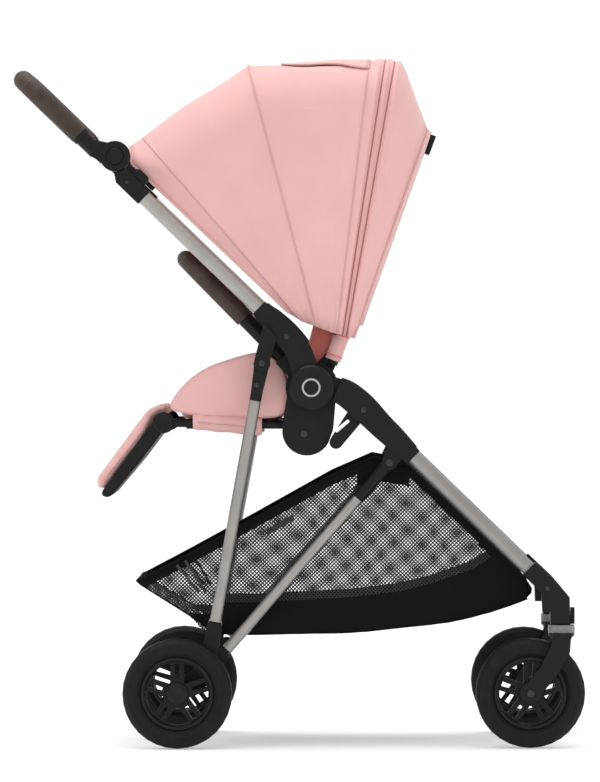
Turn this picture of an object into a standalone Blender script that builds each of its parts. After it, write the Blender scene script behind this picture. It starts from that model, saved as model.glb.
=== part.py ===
"""Compact baby stroller with a folding aluminium frame, a reversible seat and a canopy.

Metres, +X towards the swivelling front wheels, +Y to the left, +Z up. The origin is on the
floor, under the middle of the stroller. Both frame sides lie in planes parallel to XZ.
"""
import math

import bmesh
import bpy
from mathutils import Matrix, Vector

SIDES = (("right", -1), ("left", 1))

# Wheels
WHEEL_RADIUS = 0.0825
WHEEL_HALF_WIDTH = 0.017
RIM_RADIUS = 0.0550
TYRE_SEAT = 0.0553
HUB_RADIUS = 0.0165
AXLE_RADIUS = 0.0042
BORE_RADIUS = 0.0046
REAR_WHEEL = (-0.1821, 0.2255, WHEEL_RADIUS)
FRONT_WHEEL = (0.3482, 0.2000, WHEEL_RADIUS)
CASTER_X = 0.3950
WHEEL_SEGMENTS = 32

# Frame: handle tubes and front tubes share one line that falls 44 degrees to the front
SLOPE = math.radians(-44.0)
LINE_FOOT = (0.0406, 0.5639)
FRAME_Y = 0.197
TUBE_RADIUS = 0.0110
TUBE_WALL = 0.0015
HUB = (0.0188, 0.5414)
HUB_DISC_RADIUS = 0.0340
FRONT_LAP = (0.1860, 0.1965)
HANDLE_LAP = (0.1970, 0.2080)
COVER_LAYER = (0.2085, 0.2165)
SOCKET_LAYER = (0.1797, 0.1862)
ARM_LAYER = (0.1860, 0.2080)
HUB_PIN_RADIUS = 0.0100
FIT = 0.0003

# Rear A-frame: leg hangs from the handle arm, strut from the front arm, both meet at the foot
LEG_PIVOT = (-0.0552, 0.5778)
STRUT_PIVOT = (0.1362, 0.4287)
FOOT_PIVOT = (-0.1395, 0.1109)
LEG_Y = 0.2055
STRUT_Y = 0.1865
LEG_RADIUS = 0.0088
STRUT_RADIUS = 0.0083
SLEEVE_RADIUS = 0.0105
LEG_SLEEVE_LENGTH = 0.057
STRUT_SLEEVE_LENGTH = 0.072
FOOT_LAYER = (0.1966, 0.2068)
PIVOT_PIN_RADIUS = 0.0040

# Handlebar
HANDLE_HINGE_S = -0.4538
HANDLE_HINGE_RISE = 0.0140
HANDLE_HINGE_RADIUS = 0.0230
HANDLE_END_S = -0.6350
HANDLEBAR_RADIUS = 0.0125
GRIP_RADIUS = 0.0147
BUTTON_RADIUS = 0.0125

# Seat unit
SEAT_HOUSING_LAYER = (0.1500, 0.1780)
LEGREST_PIVOT = (-0.2043, 0.4881)
BACK_ANGLE = math.radians(69.6)
BACK_TUBE_Y = 0.157
CANOPY_PIVOT = (0.0424, 0.6355)
CANOPY_HALF_WIDTH = 0.1795
CANOPY_THICKNESS = 0.0015
CANOPY_CORNER = 0.075
BUMPER_ANGLE = math.radians(134.5)
BUMPER_Y = 0.163
BUMPER_RADIUS = 0.0125

COLOURS = {
    "anodised": ((0.30, 0.275, 0.255), 0.35, 0.9),
    "black": ((0.022, 0.022, 0.024), 0.50, 0.0),
    "leather": ((0.050, 0.034, 0.027), 0.55, 0.0),
    "tyre": ((0.028, 0.028, 0.029), 0.80, 0.0),
    "pink": ((0.82, 0.46, 0.43), 0.85, 0.0),
    "seat_red": ((0.62, 0.20, 0.18), 0.85, 0.0),
    "mesh": ((0.030, 0.030, 0.032), 0.75, 0.0),
    "steel": ((0.55, 0.55, 0.56), 0.30, 1.0),
    "webbing": ((0.030, 0.030, 0.032), 0.70, 0.0),
}


def material_for(name, finish):
    colour, roughness, metallic = COLOURS[finish]
    material = bpy.data.materials.new(name)
    material.use_nodes = True
    shader = material.node_tree.nodes["Principled BSDF"]
    shader.inputs["Base Color"].default_value = (*colour, 1.0)
    shader.inputs["Roughness"].default_value = roughness
    shader.inputs["Metallic"].default_value = metallic
    return material


# ---------------------------------------------------------------- geometry helpers

def along(s, rise=0.0):
    """Point (x, z) at distance s down the frame line, rise above it on the upper side."""
    direction = (math.cos(SLOPE), math.sin(SLOPE))
    return (LINE_FOOT[0] + s * direction[0] - rise * direction[1],
            LINE_FOOT[1] + s * direction[1] + rise * direction[0])


def toward(start, end, distance):
    """Point at a distance from start on the way to end."""
    length = math.hypot(end[0] - start[0], end[1] - start[1])
    share = distance / length
    return (start[0] + (end[0] - start[0]) * share, start[1] + (end[1] - start[1]) * share)


def polar(centre, radius, angle):
    return (centre[0] + radius * math.cos(angle), centre[1] + radius * math.sin(angle))


def arc(centre, radius, first, last, count):
    """Points on an arc, angles in degrees."""
    step = math.radians(last - first) / (count - 1)
    return [polar(centre, radius, math.radians(first) + step * i) for i in range(count)]


def layer(side, bounds):
    """The two Y faces of a layer on one side of the stroller."""
    return sorted((side * bounds[0], side * bounds[1]))


def finish_mesh(name, work):
    bmesh.ops.recalc_face_normals(work, faces=work.faces)
    mesh = bpy.data.meshes.new(name)
    work.to_mesh(mesh)
    work.free()
    return mesh


def make_object(name, mesh):
    made = bpy.data.objects.new(name, mesh)
    bpy.context.scene.collection.objects.link(made)
    return made


def prism(name, outline, y_faces):
    """Outline in XZ, pushed through along Y."""
    work = bmesh.new()
    low = [work.verts.new((x, y_faces[0], z)) for x, z in outline]
    high = [work.verts.new((x, y_faces[1], z)) for x, z in outline]
    work.faces.new(low)
    work.faces.new(high)
    count = len(outline)
    for i in range(count):
        j = (i + 1) % count
        work.faces.new((low[i], low[j], high[j], high[i]))
    return make_object(name, finish_mesh(name, work))


def box(name, low, high):
    outline = [(low[0], low[2]), (high[0], low[2]), (high[0], high[2]), (low[0], high[2])]
    return prism(name, outline, (low[1], high[1]))


def band(name, path, half_widths, y_faces):
    """Flat curved arm in XZ that follows a path with a changing half width."""
    upper = []
    lower = []
    for i, (x, z) in enumerate(path):
        before = path[max(i - 1, 0)]
        after = path[min(i + 1, len(path) - 1)]
        dx, dz = after[0] - before[0], after[1] - before[1]
        length = math.hypot(dx, dz)
        half = half_widths[i]
        upper.append((x - dz / length * half, z + dx / length * half))
        lower.append((x + dz / length * half, z - dx / length * half))
    return prism(name, upper + lower[::-1], y_faces)


def eased(path, widths, per_span=4):
    """A curved arm's path and half widths with points added between, along a smooth curve."""
    rows = [(*point, width) for point, width in zip(path, widths)]
    rows = [rows[0], *rows, rows[-1]]
    out = []
    for p0, p1, p2, p3 in zip(rows, rows[1:], rows[2:], rows[3:]):
        for step in range(per_span):
            t = step / per_span
            out.append([0.5 * (2 * b + (c - a) * t + (2 * a - 5 * b + 4 * c - d) * t * t
                               + (3 * b - a - 3 * c + d) * t ** 3) for a, b, c, d in zip(p0, p1, p2, p3)])
    out.append(list(rows[-1]))
    return [(x, z) for x, z, _ in out], [width for _, _, width in out]


def capsule(name, start, end, start_radius, end_radius, y_faces):
    """Link plate with round ends between two points in XZ."""
    heading = math.degrees(math.atan2(end[1] - start[1], end[0] - start[0]))
    outline = arc(start, start_radius, heading + 90, heading + 270, 9)
    outline += arc(end, end_radius, heading - 90, heading + 90, 9)
    return prism(name, outline, y_faces)


def disc(name, centre, radius, y_faces, segments=28):
    outline = arc(centre, radius, 0, 360 - 360 / segments, segments)
    return prism(name, outline, y_faces)


def turned(name, profile, segments, centre, axis="Y"):
    """Closed solid of revolution. The profile lists (radius, height) from end to end."""
    work = bmesh.new()
    rings = []
    for radius, height in profile:
        if radius == 0:
            rings.append([work.verts.new((0, 0, height))])
            continue
        ring = []
        for k in range(segments):
            turn = 2 * math.pi * k / segments
            ring.append(work.verts.new((radius * math.cos(turn), radius * math.sin(turn), height)))
        rings.append(ring)
    pairs = list(zip(rings, rings[1:]))
    if profile[0][0] != 0:
        pairs.append((rings[-1], rings[0]))
    for first, second in pairs:
        for k in range(segments):
            n = (k + 1) % segments
            if len(first) == 1:
                work.faces.new((first[0], second[k], second[n]))
            elif len(second) == 1:
                work.faces.new((first[k], first[n], second[0]))
            else:
                work.faces.new((first[k], first[n], second[n], second[k]))
    if axis == "Y":
        work.transform(Matrix.Rotation(math.radians(-90), 4, "X"))
    work.transform(Matrix.Translation(centre))
    return make_object(name, finish_mesh(name, work))


def swept(name, points, radius, segments=14, bore=0.0):
    """Round bar along a path, or a tube open at both ends where bore is given."""
    path = [Vector(p) for p in points]
    steps = [(b - a).normalized() for a, b in zip(path, path[1:])]
    tangents = [(a + b).normalized() for a, b in zip(steps[:1] + steps, steps + steps[-1:])]
    side = tangents[0].orthogonal().normalized()
    work = bmesh.new()
    outer, inner = [], []
    for i, (point, tangent) in enumerate(zip(path, tangents)):
        if i:
            side = tangents[i - 1].rotation_difference(tangent) @ side
        other = tangent.cross(side).normalized()
        directions = [side * math.cos(2 * math.pi * k / segments)
                      + other * math.sin(2 * math.pi * k / segments) for k in range(segments)]
        outer.append([work.verts.new(point + d * radius) for d in directions])
        if bore:
            inner.append([work.verts.new(point + d * bore) for d in directions])
    for rings in (outer, inner):
        for first, second in zip(rings, rings[1:]):
            for k in range(segments):
                n = (k + 1) % segments
                work.faces.new((first[k], first[n], second[n], second[k]))
    for end in (0, -1):
        if not bore:
            work.faces.new(outer[end])
            continue
        for k in range(segments):
            n = (k + 1) % segments
            work.faces.new((outer[end][k], outer[end][n], inner[end][n], inner[end][k]))
    return make_object(name, finish_mesh(name, work))


def rod(name, start, end, y, radius, segments=18, bore=0.0):
    return swept(name, [(start[0], y, start[1]), (end[0], y, end[1])], radius, segments, bore)


def cross_rod(name, centre, radius, y_faces, segments=16):
    return disc(name, centre, radius, y_faces, segments)


def loop_path(start, end, half_width, corner, steps=5):
    """U path: up one side from start to end in XZ, across along Y, and back down."""
    up = Vector((end[0] - start[0], 0, end[1] - start[1])).normalized()
    top = Vector((end[0], 0, end[1]))
    left = [Vector((start[0], half_width, start[1]))]
    for i in range(steps + 1):
        turn = math.pi / 2 * i / steps
        centre = top + Vector((0, half_width - corner, 0)) - up * corner
        left.append(centre + Vector((0, corner * math.cos(turn), 0)) + up * corner * math.sin(turn))
    right = [Vector((p.x, -p.y, p.z)) for p in reversed(left)]
    return left + right


def combine(target, other, operation):
    """Boolean of two solids; the second one is used up."""
    modifier = target.modifiers.new("combine", "BOOLEAN")
    modifier.operation = operation
    modifier.solver = "EXACT"
    modifier.object = other
    graph = bpy.context.evaluated_depsgraph_get()
    result = bpy.data.meshes.new_from_object(target.evaluated_get(graph))
    target.modifiers.clear()
    target.data = result
    bpy.data.objects.remove(other)
    return target


def joined(target, *others):
    for other in others:
        combine(target, other, "UNION")
    return target


def cut(target, *others):
    for other in others:
        combine(target, other, "DIFFERENCE")
    return target


def dress(made, finish, pivot=None, smooth=True):
    """Give a finished solid its material, its parent and smooth round faces."""
    made.data.materials.clear()
    made.data.materials.append(material_for(made.name, finish))
    if smooth:
        made.data.shade_smooth()
        made.data.set_sharp_from_angle(angle=math.radians(35))
    if pivot is not None:
        made.parent = pivot
        made.matrix_parent_inverse = pivot.matrix_world.inverted()
    return made


def pivot_at(name, x, y, z, parent=None):
    """Empty on a joint's axis that carries the pieces which turn or slide together."""
    empty = bpy.data.objects.new(name, None)
    empty.empty_display_size = 0.02
    bpy.context.scene.collection.objects.link(empty)
    empty.location = (x, y, z)
    bpy.context.view_layer.update()
    if parent is not None:
        empty.parent = parent
        empty.matrix_parent_inverse = parent.matrix_world.inverted()
        bpy.context.view_layer.update()
    return empty


# ---------------------------------------------------------------- wheels

def tyre(name, centre, pivot):
    half = WHEEL_HALF_WIDTH
    profile = [(TYRE_SEAT, -0.0120), (0.0610, -half), (0.0750, -half + 0.0016),
               (0.0812, -0.0095), (WHEEL_RADIUS, -0.0045)]
    profile += [(radius, -height) for radius, height in reversed(profile)]
    return dress(turned(name, profile, WHEEL_SEGMENTS, centre), "tyre", pivot)


def rim(name, centre, pivot, side, blind):
    """Rim with five pairs of spokes. A blind hub is closed by its cap on the outer side."""
    out = side
    body = [(0.0492, -0.0125), (RIM_RADIUS, -0.0125), (RIM_RADIUS, 0.0125), (0.0492, 0.0125),
            (0.0480, 0.0070 * out), (0.0480, -0.0010 * out)]
    if out > 0:
        ring = [body[0], body[1], body[2], body[3], body[4], (HUB_RADIUS, 0.0070)]
        ring += [(HUB_RADIUS, 0.0135)]
        ring += [(0, 0.0135), (0, 0.0100), (BORE_RADIUS, 0.0100)] if blind else [(BORE_RADIUS, 0.0135)]
        ring += [(BORE_RADIUS, -0.0140), (HUB_RADIUS, -0.0140), (HUB_RADIUS, -0.0010), body[5]]
    else:
        ring = [body[3], body[2], body[1], body[0], body[4], (HUB_RADIUS, -0.0070)]
        ring += [(HUB_RADIUS, -0.0135)]
        ring += [(0, -0.0135), (0, -0.0100), (BORE_RADIUS, -0.0100)] if blind else [(BORE_RADIUS, -0.0135)]
        ring += [(BORE_RADIUS, 0.0140), (HUB_RADIUS, 0.0140), (HUB_RADIUS, 0.0010), body[5]]
    if blind:
        split = ring.index((0, 0.0100 * out))
        ring = ring[split:] + ring[:split]
    wheel = turned(name, ring, WHEEL_SEGMENTS, centre)
    wheel_centre = (centre[0], centre[2])
    faces = (centre[1] - 0.012, centre[1] + 0.012)
    for k in range(5):
        middle = 18 + 72 * k
        inner = arc(wheel_centre, 0.0195, middle + 33, middle + 39, 2)
        outer = arc(wheel_centre, 0.0468, middle + 59, middle + 13, 5)
        cut(wheel, prism("window", inner + outer, faces))
        slot_start = polar(wheel_centre, 0.0235, math.radians(middle))
        slot_end = polar(wheel_centre, 0.0450, math.radians(middle))
        cut(wheel, band("slot", [slot_start, slot_end], [0.0024, 0.0036], faces))
    return dress(wheel, "black", pivot)


# ---------------------------------------------------------------- front frame

def front_arm(name, side):
    """Curved arm from the hub to the front tube, with the strut's lug and the seat socket."""
    full = layer(side, ARM_LAYER)
    path = [(0.0575, 0.5376), (0.0740, 0.5292), (0.0985, 0.5090), (0.1260, 0.4810),
            along(0.150), along(0.183)]
    arm = band(name, *eased(path, [0.0175, 0.0195, 0.0200, 0.0180, 0.0165, 0.0135]), full)
    lap = disc("lap", HUB, HUB_DISC_RADIUS, layer(side, FRONT_LAP), 36)
    neck = band("neck", [(0.0400, 0.5420), (0.0660, 0.5330)], [0.0160, 0.0175], layer(side, FRONT_LAP))
    socket = disc("socket", HUB, 0.0290, layer(side, SOCKET_LAYER), 24)
    lug_plate = capsule("lug", (0.1480, 0.4480), STRUT_PIVOT, 0.0140, 0.0115,
                        layer(side, (0.1978, 0.2075)))
    joined(arm, neck, lap, socket, lug_plate)
    pin = cross_rod("pin", STRUT_PIVOT, PIVOT_PIN_RADIUS, layer(side, (0.1765, 0.1990)))
    joined(arm, pin)
    if side < 0:
        joined(arm, fold_lock_hook())
    slot_top = HUB[1] + 0.050
    half = 0.0083
    slot = box("slot", (HUB[0] - half, -1, HUB[1] - half), (HUB[0] + half, 1, slot_top))
    limit = box("limit", (HUB[0] - 0.05, min(layer(side, (0.1700, 0.1859))), HUB[1] - 0.05),
                (HUB[0] + 0.05, max(layer(side, (0.1700, 0.1859))), HUB[1] + 0.06))
    combine(limit, slot, "INTERSECT")
    bore = cross_rod("bore", HUB, HUB_PIN_RADIUS + FIT, layer(side, (0.1850, 0.2000)), 24)
    return dress(cut(arm, limit, bore), "black")


def hub_cover(name, side):
    """Round cover of the fold joint with its pivot pin."""
    low, high = COVER_LAYER
    profile = [(0, 0.1868), (HUB_PIN_RADIUS, 0.1868), (HUB_PIN_RADIUS, low), (HUB_DISC_RADIUS, low),
               (HUB_DISC_RADIUS, high - 0.003), (HUB_DISC_RADIUS - 0.003, high), (0, high)]
    profile = [(radius, height * side) for radius, height in profile]
    return dress(turned(name, profile, 36, (HUB[0], 0, HUB[1])), "black")


def front_tube(name, side):
    start, end = along(0.183 + FIT), along(0.424)
    bore = TUBE_RADIUS - TUBE_WALL
    return dress(rod(name, start, end, side * FRAME_Y, TUBE_RADIUS, 20, bore), "anodised")


def caster_housing(name, side):
    """Elbow at the front tube's end that holds the vertical caster bearing."""
    start = 0.424 + FIT
    outline = [along(start, 0.0135), (0.3924, 0.2439), (0.4069, 0.2267), (0.4078, 0.1858),
               (0.3781, 0.1858), (0.3776, 0.2049), (0.3660, 0.2049), (0.3648, 0.2327),
               along(start, -0.0125)]
    housing = prism(name, outline, layer(side, (0.1855, 0.2145)))
    stem_bore = turned("bore", [(0, 0.17), (0.0064, 0.17), (0.0064, 0.2200), (0, 0.2200)],
                       20, (CASTER_X, side * FRONT_WHEEL[1], 0), "Z")
    return dress(cut(housing, stem_bore), "black")


def fold_lock_hook():
    """Slotted hook under the right arm that catches the handle when the frame is folded."""
    hook = capsule("hook", (0.0830, 0.4960), (0.0560, 0.4590), 0.0130, 0.0100, (-0.1950, -0.1865))
    slot = capsule("slot", (0.0735, 0.4905), (0.0570, 0.4765), 0.0026, 0.0026, (-0.2, -0.18))
    return cut(hook, slot)


def basket(name):
    """Fabric basket, open at the top, as a thin shell."""
    outline = [(-0.2420, 0.2440), (-0.1661, 0.1960), (-0.1275, 0.1680), (0.0018, 0.1680),
               (0.1015, 0.1715), (0.2262, 0.1865), (0.2884, 0.2020), (0.3400, 0.2250),
               (0.3440, 0.2520), (0.1620, 0.4270), (0.1115, 0.4380), (0.0497, 0.4100),
               (-0.2370, 0.2510)]
    inner = [(-0.2375, 0.2450), (-0.1650, 0.1995), (-0.1267, 0.1712), (0.0015, 0.1712),
             (0.1010, 0.1747), (0.2252, 0.1897), (0.2870, 0.2050), (0.3370, 0.2272),
             (0.3408, 0.2508), (0.1600, 0.4248), (0.1140, 0.4370), (0.0900, 0.4800), (-0.2500, 0.3000)]
    shell = prism(name, outline, (-0.1735, 0.1735))
    return dress(cut(shell, prism("inside", inner, (-0.1705, 0.1705))), "mesh", smooth=False)


# ---------------------------------------------------------------- casters

def fork(name, side, pivot):
    """Caster fork with a leg on either side of the wheel, its stem and its axle."""
    y = side * FRONT_WHEEL[1]
    crown_bottom, crown_top = 0.1650, 0.1855
    profile = [(0, crown_bottom), (0.0150, crown_bottom), (0.0195, 0.1690), (0.0195, crown_top - FIT),
               (0.0060, crown_top - FIT), (0.0060, 0.2150), (0, 0.2150)]
    body = turned(name, profile, 24, (CASTER_X, y, 0), "Z")
    joined(body, box("bridge", (0.3805, y - 0.0260, crown_bottom + 0.0002), (0.4095, y + 0.0260, 0.1725)))
    path = [(0.3950, 0.1722), (0.3930, 0.1500), (0.3760, 0.1180), (FRONT_WHEEL[0] + 0.002, 0.0845)]
    for inside, outside in ((0.0195, 0.0260), (-0.0260, -0.0195)):
        leg = band("leg", path, [0.0140, 0.0150, 0.0140, 0.0130], (y + inside, y + outside))
        joined(body, leg)
    axle = cross_rod("axle", (FRONT_WHEEL[0], FRONT_WHEEL[2]), AXLE_RADIUS, (y - 0.0250, y + 0.0255))
    tips = [disc("tip", (FRONT_WHEEL[0], FRONT_WHEEL[2]), 0.0125, faces, 24)
            for faces in ((y + 0.0196, y + 0.0259), (y - 0.0259, y - 0.0196))]
    joined(body, *tips)
    return dress(joined(body, axle), "black", pivot)


def swivel_lock(name, side, pivot):
    y = side * FRONT_WHEEL[1]
    return dress(box(name, (0.4082, y - 0.0070, 0.1865), (0.4145, y + 0.0070, 0.2113)), "black", pivot)


# ---------------------------------------------------------------- handle frame

def handle_arm(name, side, pivot):
    """Curved arm from the handle tube to the hub, with the bracket of the rear leg."""
    path = [along(-0.140), along(-0.131), (-0.0425, 0.6450), (-0.0220, 0.6245), (-0.0035, 0.6010),
            (0.0065, 0.5790)]
    widths = [0.0135, 0.0141, 0.0165, 0.0185, 0.0195, 0.0195]
    arm = band(name, *eased(path, widths), layer(side, ARM_LAYER))
    lap = disc("lap", HUB, HUB_DISC_RADIUS, layer(side, HANDLE_LAP), 36)
    neck = band("neck", [(0.0040, 0.5840), (0.0120, 0.5600)], [0.0195, 0.0210], layer(side, HANDLE_LAP))
    bracket = prism("bracket", [(-0.0523, 0.6385), (-0.0330, 0.6160), (-0.0415, 0.5880)]
                    + arc(LEG_PIVOT, 0.0130, 20, -175, 10), layer(side, (0.2148, 0.2195)))
    boss = prism("boss", [(-0.0500, 0.6370), (-0.0345, 0.6180), (-0.0370, 0.6080), (-0.0560, 0.6240)],
                 layer(side, (0.2065, 0.2150)))
    pin = cross_rod("pin", LEG_PIVOT, PIVOT_PIN_RADIUS, layer(side, (0.1975, 0.2160)))
    joined(arm, neck, lap, boss, bracket, pin)
    bore = cross_rod("bore", HUB, HUB_PIN_RADIUS + FIT, layer(side, (0.1900, 0.2200)), 24)
    return dress(cut(arm, bore), "black", pivot)


def handle_tube(name, side, pivot):
    start, end = along(-0.379), along(-0.140 - FIT)
    bore = TUBE_RADIUS - TUBE_WALL
    return dress(rod(name, start, end, side * FRAME_Y, TUBE_RADIUS, 20, bore), "anodised", pivot)


def handle_joint(name, side, pivot):
    """Fitting on the tube's upper end with the lower cheek of the handlebar hinge."""
    outline = [along(-0.379 - FIT, -0.0135), along(-0.379 - FIT, 0.0125), along(-0.425, 0.0125),
               along(-0.436, 0.0100), along(-0.436, -0.0060), along(-0.425, -0.0135)]
    fitting = prism(name, outline, layer(side, ARM_LAYER))
    hinge = along(HANDLE_HINGE_S, HANDLE_HINGE_RISE)
    cheek = disc("cheek", hinge, HANDLE_HINGE_RADIUS, layer(side, (0.1860, 0.1969)))
    clear = disc("clear", hinge, HANDLE_HINGE_RADIUS + 0.0010, layer(side, (0.1969, 0.2200)))
    return dress(joined(cut(fitting, clear), cheek), "black", pivot)


def fold_trigger(name, side, pivot):
    """Finger slide on the handle fitting that releases the fold lock."""
    outline = [along(-0.392, 0.0129), along(-0.392, 0.0225), along(-0.396, 0.0260),
               along(-0.413, 0.0260), along(-0.417, 0.0225), along(-0.417, 0.0129)]
    return dress(prism(name, outline, layer(side, (0.1885, 0.2055))), "black", pivot)


def handlebar(pivot):
    """U shaped upper handle with a cheek on each end, and the padded grip around it."""
    hinge = along(HANDLE_HINGE_S, HANDLE_HINGE_RISE)
    lower_end = along(-0.479, 0.0)
    grip_start = along(-0.515, 0.0)
    top = along(HANDLE_END_S, 0.0)
    full = loop_path(lower_end, top, FRAME_Y, 0.045)
    grip_path = loop_path(grip_start, top, FRAME_Y, 0.045)
    bar = swept("handlebar_tube", full, HANDLEBAR_RADIUS, 16)
    core_path = loop_path(along(-0.500, 0.0), top, FRAME_Y, 0.045)
    grip_core = swept("core", core_path, HANDLEBAR_RADIUS + FIT, 16)
    grip = swept("handlebar_grip", grip_path, GRIP_RADIUS, 20)
    for _, side in SIDES:
        cheek = disc("cheek", hinge, HANDLE_HINGE_RADIUS, layer(side, (0.1973, 0.2080)))
        neck = band("neck", [along(-0.462, 0.010), along(-0.486, 0.0)], [0.0170, 0.0125],
                    layer(side, (0.1973, 0.2078)))
        well = disc("well", hinge, BUTTON_RADIUS + FIT, layer(side, (0.1990, 0.2200)))
        joined(bar, cheek, neck)
        cut(bar, well)
    dress(bar, "black", pivot)
    cut(grip, grip_core)
    dress(grip, "leather", pivot)


def handle_button(name, side, pivot):
    hinge = along(HANDLE_HINGE_S, HANDLE_HINGE_RISE)
    profile = [(0, 0.2036), (BUTTON_RADIUS, 0.2036), (BUTTON_RADIUS, 0.2105),
               (BUTTON_RADIUS - 0.0015, 0.2120), (0, 0.2120)]
    profile = [(radius, height * side) for radius, height in profile]
    return dress(turned(name, profile, 24, (hinge[0], 0, hinge[1])), "black", pivot)


# ---------------------------------------------------------------- rear A-frame

def leg_sleeve(name, side, pivot):
    end = toward(LEG_PIVOT, FOOT_PIVOT, LEG_SLEEVE_LENGTH)
    sleeve = rod(name, toward(LEG_PIVOT, FOOT_PIVOT, 0.004), end, side * LEG_Y, SLEEVE_RADIUS * 0.85, 16)
    eye = disc("eye", LEG_PIVOT, 0.0115, layer(side, (0.1967, 0.2143)), 24)
    shoulder = capsule("shoulder", LEG_PIVOT, toward(LEG_PIVOT, FOOT_PIVOT, 0.047), 0.0114, 0.0085,
                       layer(side, (0.1972, 0.2138)))
    bore = cross_rod("bore", LEG_PIVOT, PIVOT_PIN_RADIUS + FIT, layer(side, (0.1900, 0.2200)))
    return dress(cut(joined(sleeve, eye, shoulder), bore), "black", pivot)


def rear_leg(name, side, pivot):
    """Leg tube with the flat foot plate that lies beside the wheel housing."""
    start = toward(LEG_PIVOT, FOOT_PIVOT, LEG_SLEEVE_LENGTH + FIT)
    foot_top = toward(FOOT_PIVOT, LEG_PIVOT, 0.080)
    bore = LEG_RADIUS - TUBE_WALL
    leg = rod(name, start, foot_top, side * LEG_Y, LEG_RADIUS, 18, bore)
    foot = capsule("foot", toward(FOOT_PIVOT, LEG_PIVOT, 0.077), FOOT_PIVOT, 0.0105, 0.0120,
                   layer(side, FOOT_LAYER))
    return dress(joined(leg, foot), "anodised", pivot)


def strut_sleeve(name, side, pivot):
    end = toward(STRUT_PIVOT, FOOT_PIVOT, STRUT_SLEEVE_LENGTH)
    sleeve = rod(name, toward(STRUT_PIVOT, FOOT_PIVOT, 0.004), end, side * STRUT_Y, 0.0098, 16)
    eye = disc("eye", STRUT_PIVOT, 0.0115, layer(side, (0.1768, 0.1972)), 24)
    bore = cross_rod("bore", STRUT_PIVOT, PIVOT_PIN_RADIUS + FIT, layer(side, (0.1700, 0.2000)))
    return dress(cut(joined(sleeve, eye), bore), "black", pivot)


def strut(name, side, pivot):
    start = toward(STRUT_PIVOT, FOOT_PIVOT, STRUT_SLEEVE_LENGTH + FIT)
    end = toward(FOOT_PIVOT, STRUT_PIVOT, 0.048)
    bore = STRUT_RADIUS - TUBE_WALL
    return dress(rod(name, start, end, side * STRUT_Y, STRUT_RADIUS, 18, bore), "anodised", pivot)


def rear_axle(name, pivot):
    """Cross tube with the two wheel housings and their axle stubs."""
    wheel = (REAR_WHEEL[0], REAR_WHEEL[2])
    axle = cross_rod(name, FOOT_PIVOT, 0.0085, (-0.1800, 0.1800), 20)
    for _, side in SIDES:
        arm = capsule("arm", toward(FOOT_PIVOT, STRUT_PIVOT, 0.036), FOOT_PIVOT, 0.0112, 0.0165,
                      layer(side, (0.1782, 0.1955)))
        plate = capsule("plate", FOOT_PIVOT, wheel, 0.0165, 0.0140, layer(side, (0.1784, 0.1953)))
        stub = cross_rod("stub", wheel, AXLE_RADIUS, layer(side, (0.1900, 0.2340)))
        collar = disc("collar", wheel, 0.0090, layer(side, (0.1940, 0.2105)), 20)
        joined(axle, arm, plate, collar, stub)
    return dress(axle, "black", pivot)


def brake_pedal(name, pivot):
    """Foot lever that turns on the rear cross tube."""
    lever = capsule(name, FOOT_PIVOT, (-0.2050, 0.1270), 0.0145, 0.0060, (-0.1500, -0.0900))
    bore = cross_rod("bore", FOOT_PIVOT, 0.0085 + FIT, (-0.2, 0.0), 20)
    return dress(cut(lever, bore), "black", pivot)


# ---------------------------------------------------------------- seat unit

def back_point(up, forward=0.0):
    """Point up the backrest from the hub's height, forward of the tube's centre line."""
    direction = (math.cos(BACK_ANGLE), math.sin(BACK_ANGLE))
    shift = 0.0155 - forward
    return (HUB[0] + up * direction[0] + shift * direction[1],
            HUB[1] + up * direction[1] - shift * direction[0])


def bumper_point(distance):
    return polar(HUB, distance, BUMPER_ANGLE)


def seat_base(name, pivot):
    """Seat pan with the side housings, rails, leg rest cheeks and bumper bar sockets."""
    base = box(name, (-0.1700, -0.1600, 0.4790), (0.0250, 0.1600, 0.4895))
    housing_outline = arc(HUB, 0.0390, -20, 200, 16)
    housing_outline += [(-0.0215, 0.5080), (-0.0245, 0.4900)] + arc((0.0120, 0.4760), 0.0372, 186, 330, 15)
    housing_outline += [(0.0510, 0.4760)]
    for _, side in SIDES:
        housing = prism("housing", housing_outline, layer(side, SEAT_HOUSING_LAYER))
        post = cross_rod("post", HUB, 0.0080, layer(side, (0.1760, 0.1853)), 20)
        back_pin = cross_rod("back_pin", HUB, 0.0060, layer(side, (0.1395, 0.1520)), 16)
        rail = rod("rail", (-0.0050, 0.4850), LEGREST_PIVOT, side * 0.1555, 0.0065, 12)
        cheek = disc("cheek", LEGREST_PIVOT, 0.0160, layer(side, (0.1490, 0.1625)), 24)
        leg_pin = cross_rod("leg_pin", LEGREST_PIVOT, 0.0050, layer(side, (0.1300, 0.1500)))
        socket = band("socket", [bumper_point(0.0300), bumper_point(0.0640)], [0.0125, 0.0125],
                      layer(side, (0.1510, 0.1750)))
        plug = swept("plug", [(*bumper_xy(0.0400, side),), (*bumper_xy(0.0700, side),)], 0.0068, 14)
        joined(base, housing, post, back_pin, rail, cheek, leg_pin, socket)
        cut(base, plug)
    return dress(base, "black", pivot)


def bumper_xy(distance, side):
    x, z = bumper_point(distance)
    return (x, side * BUMPER_Y, z)


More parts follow.
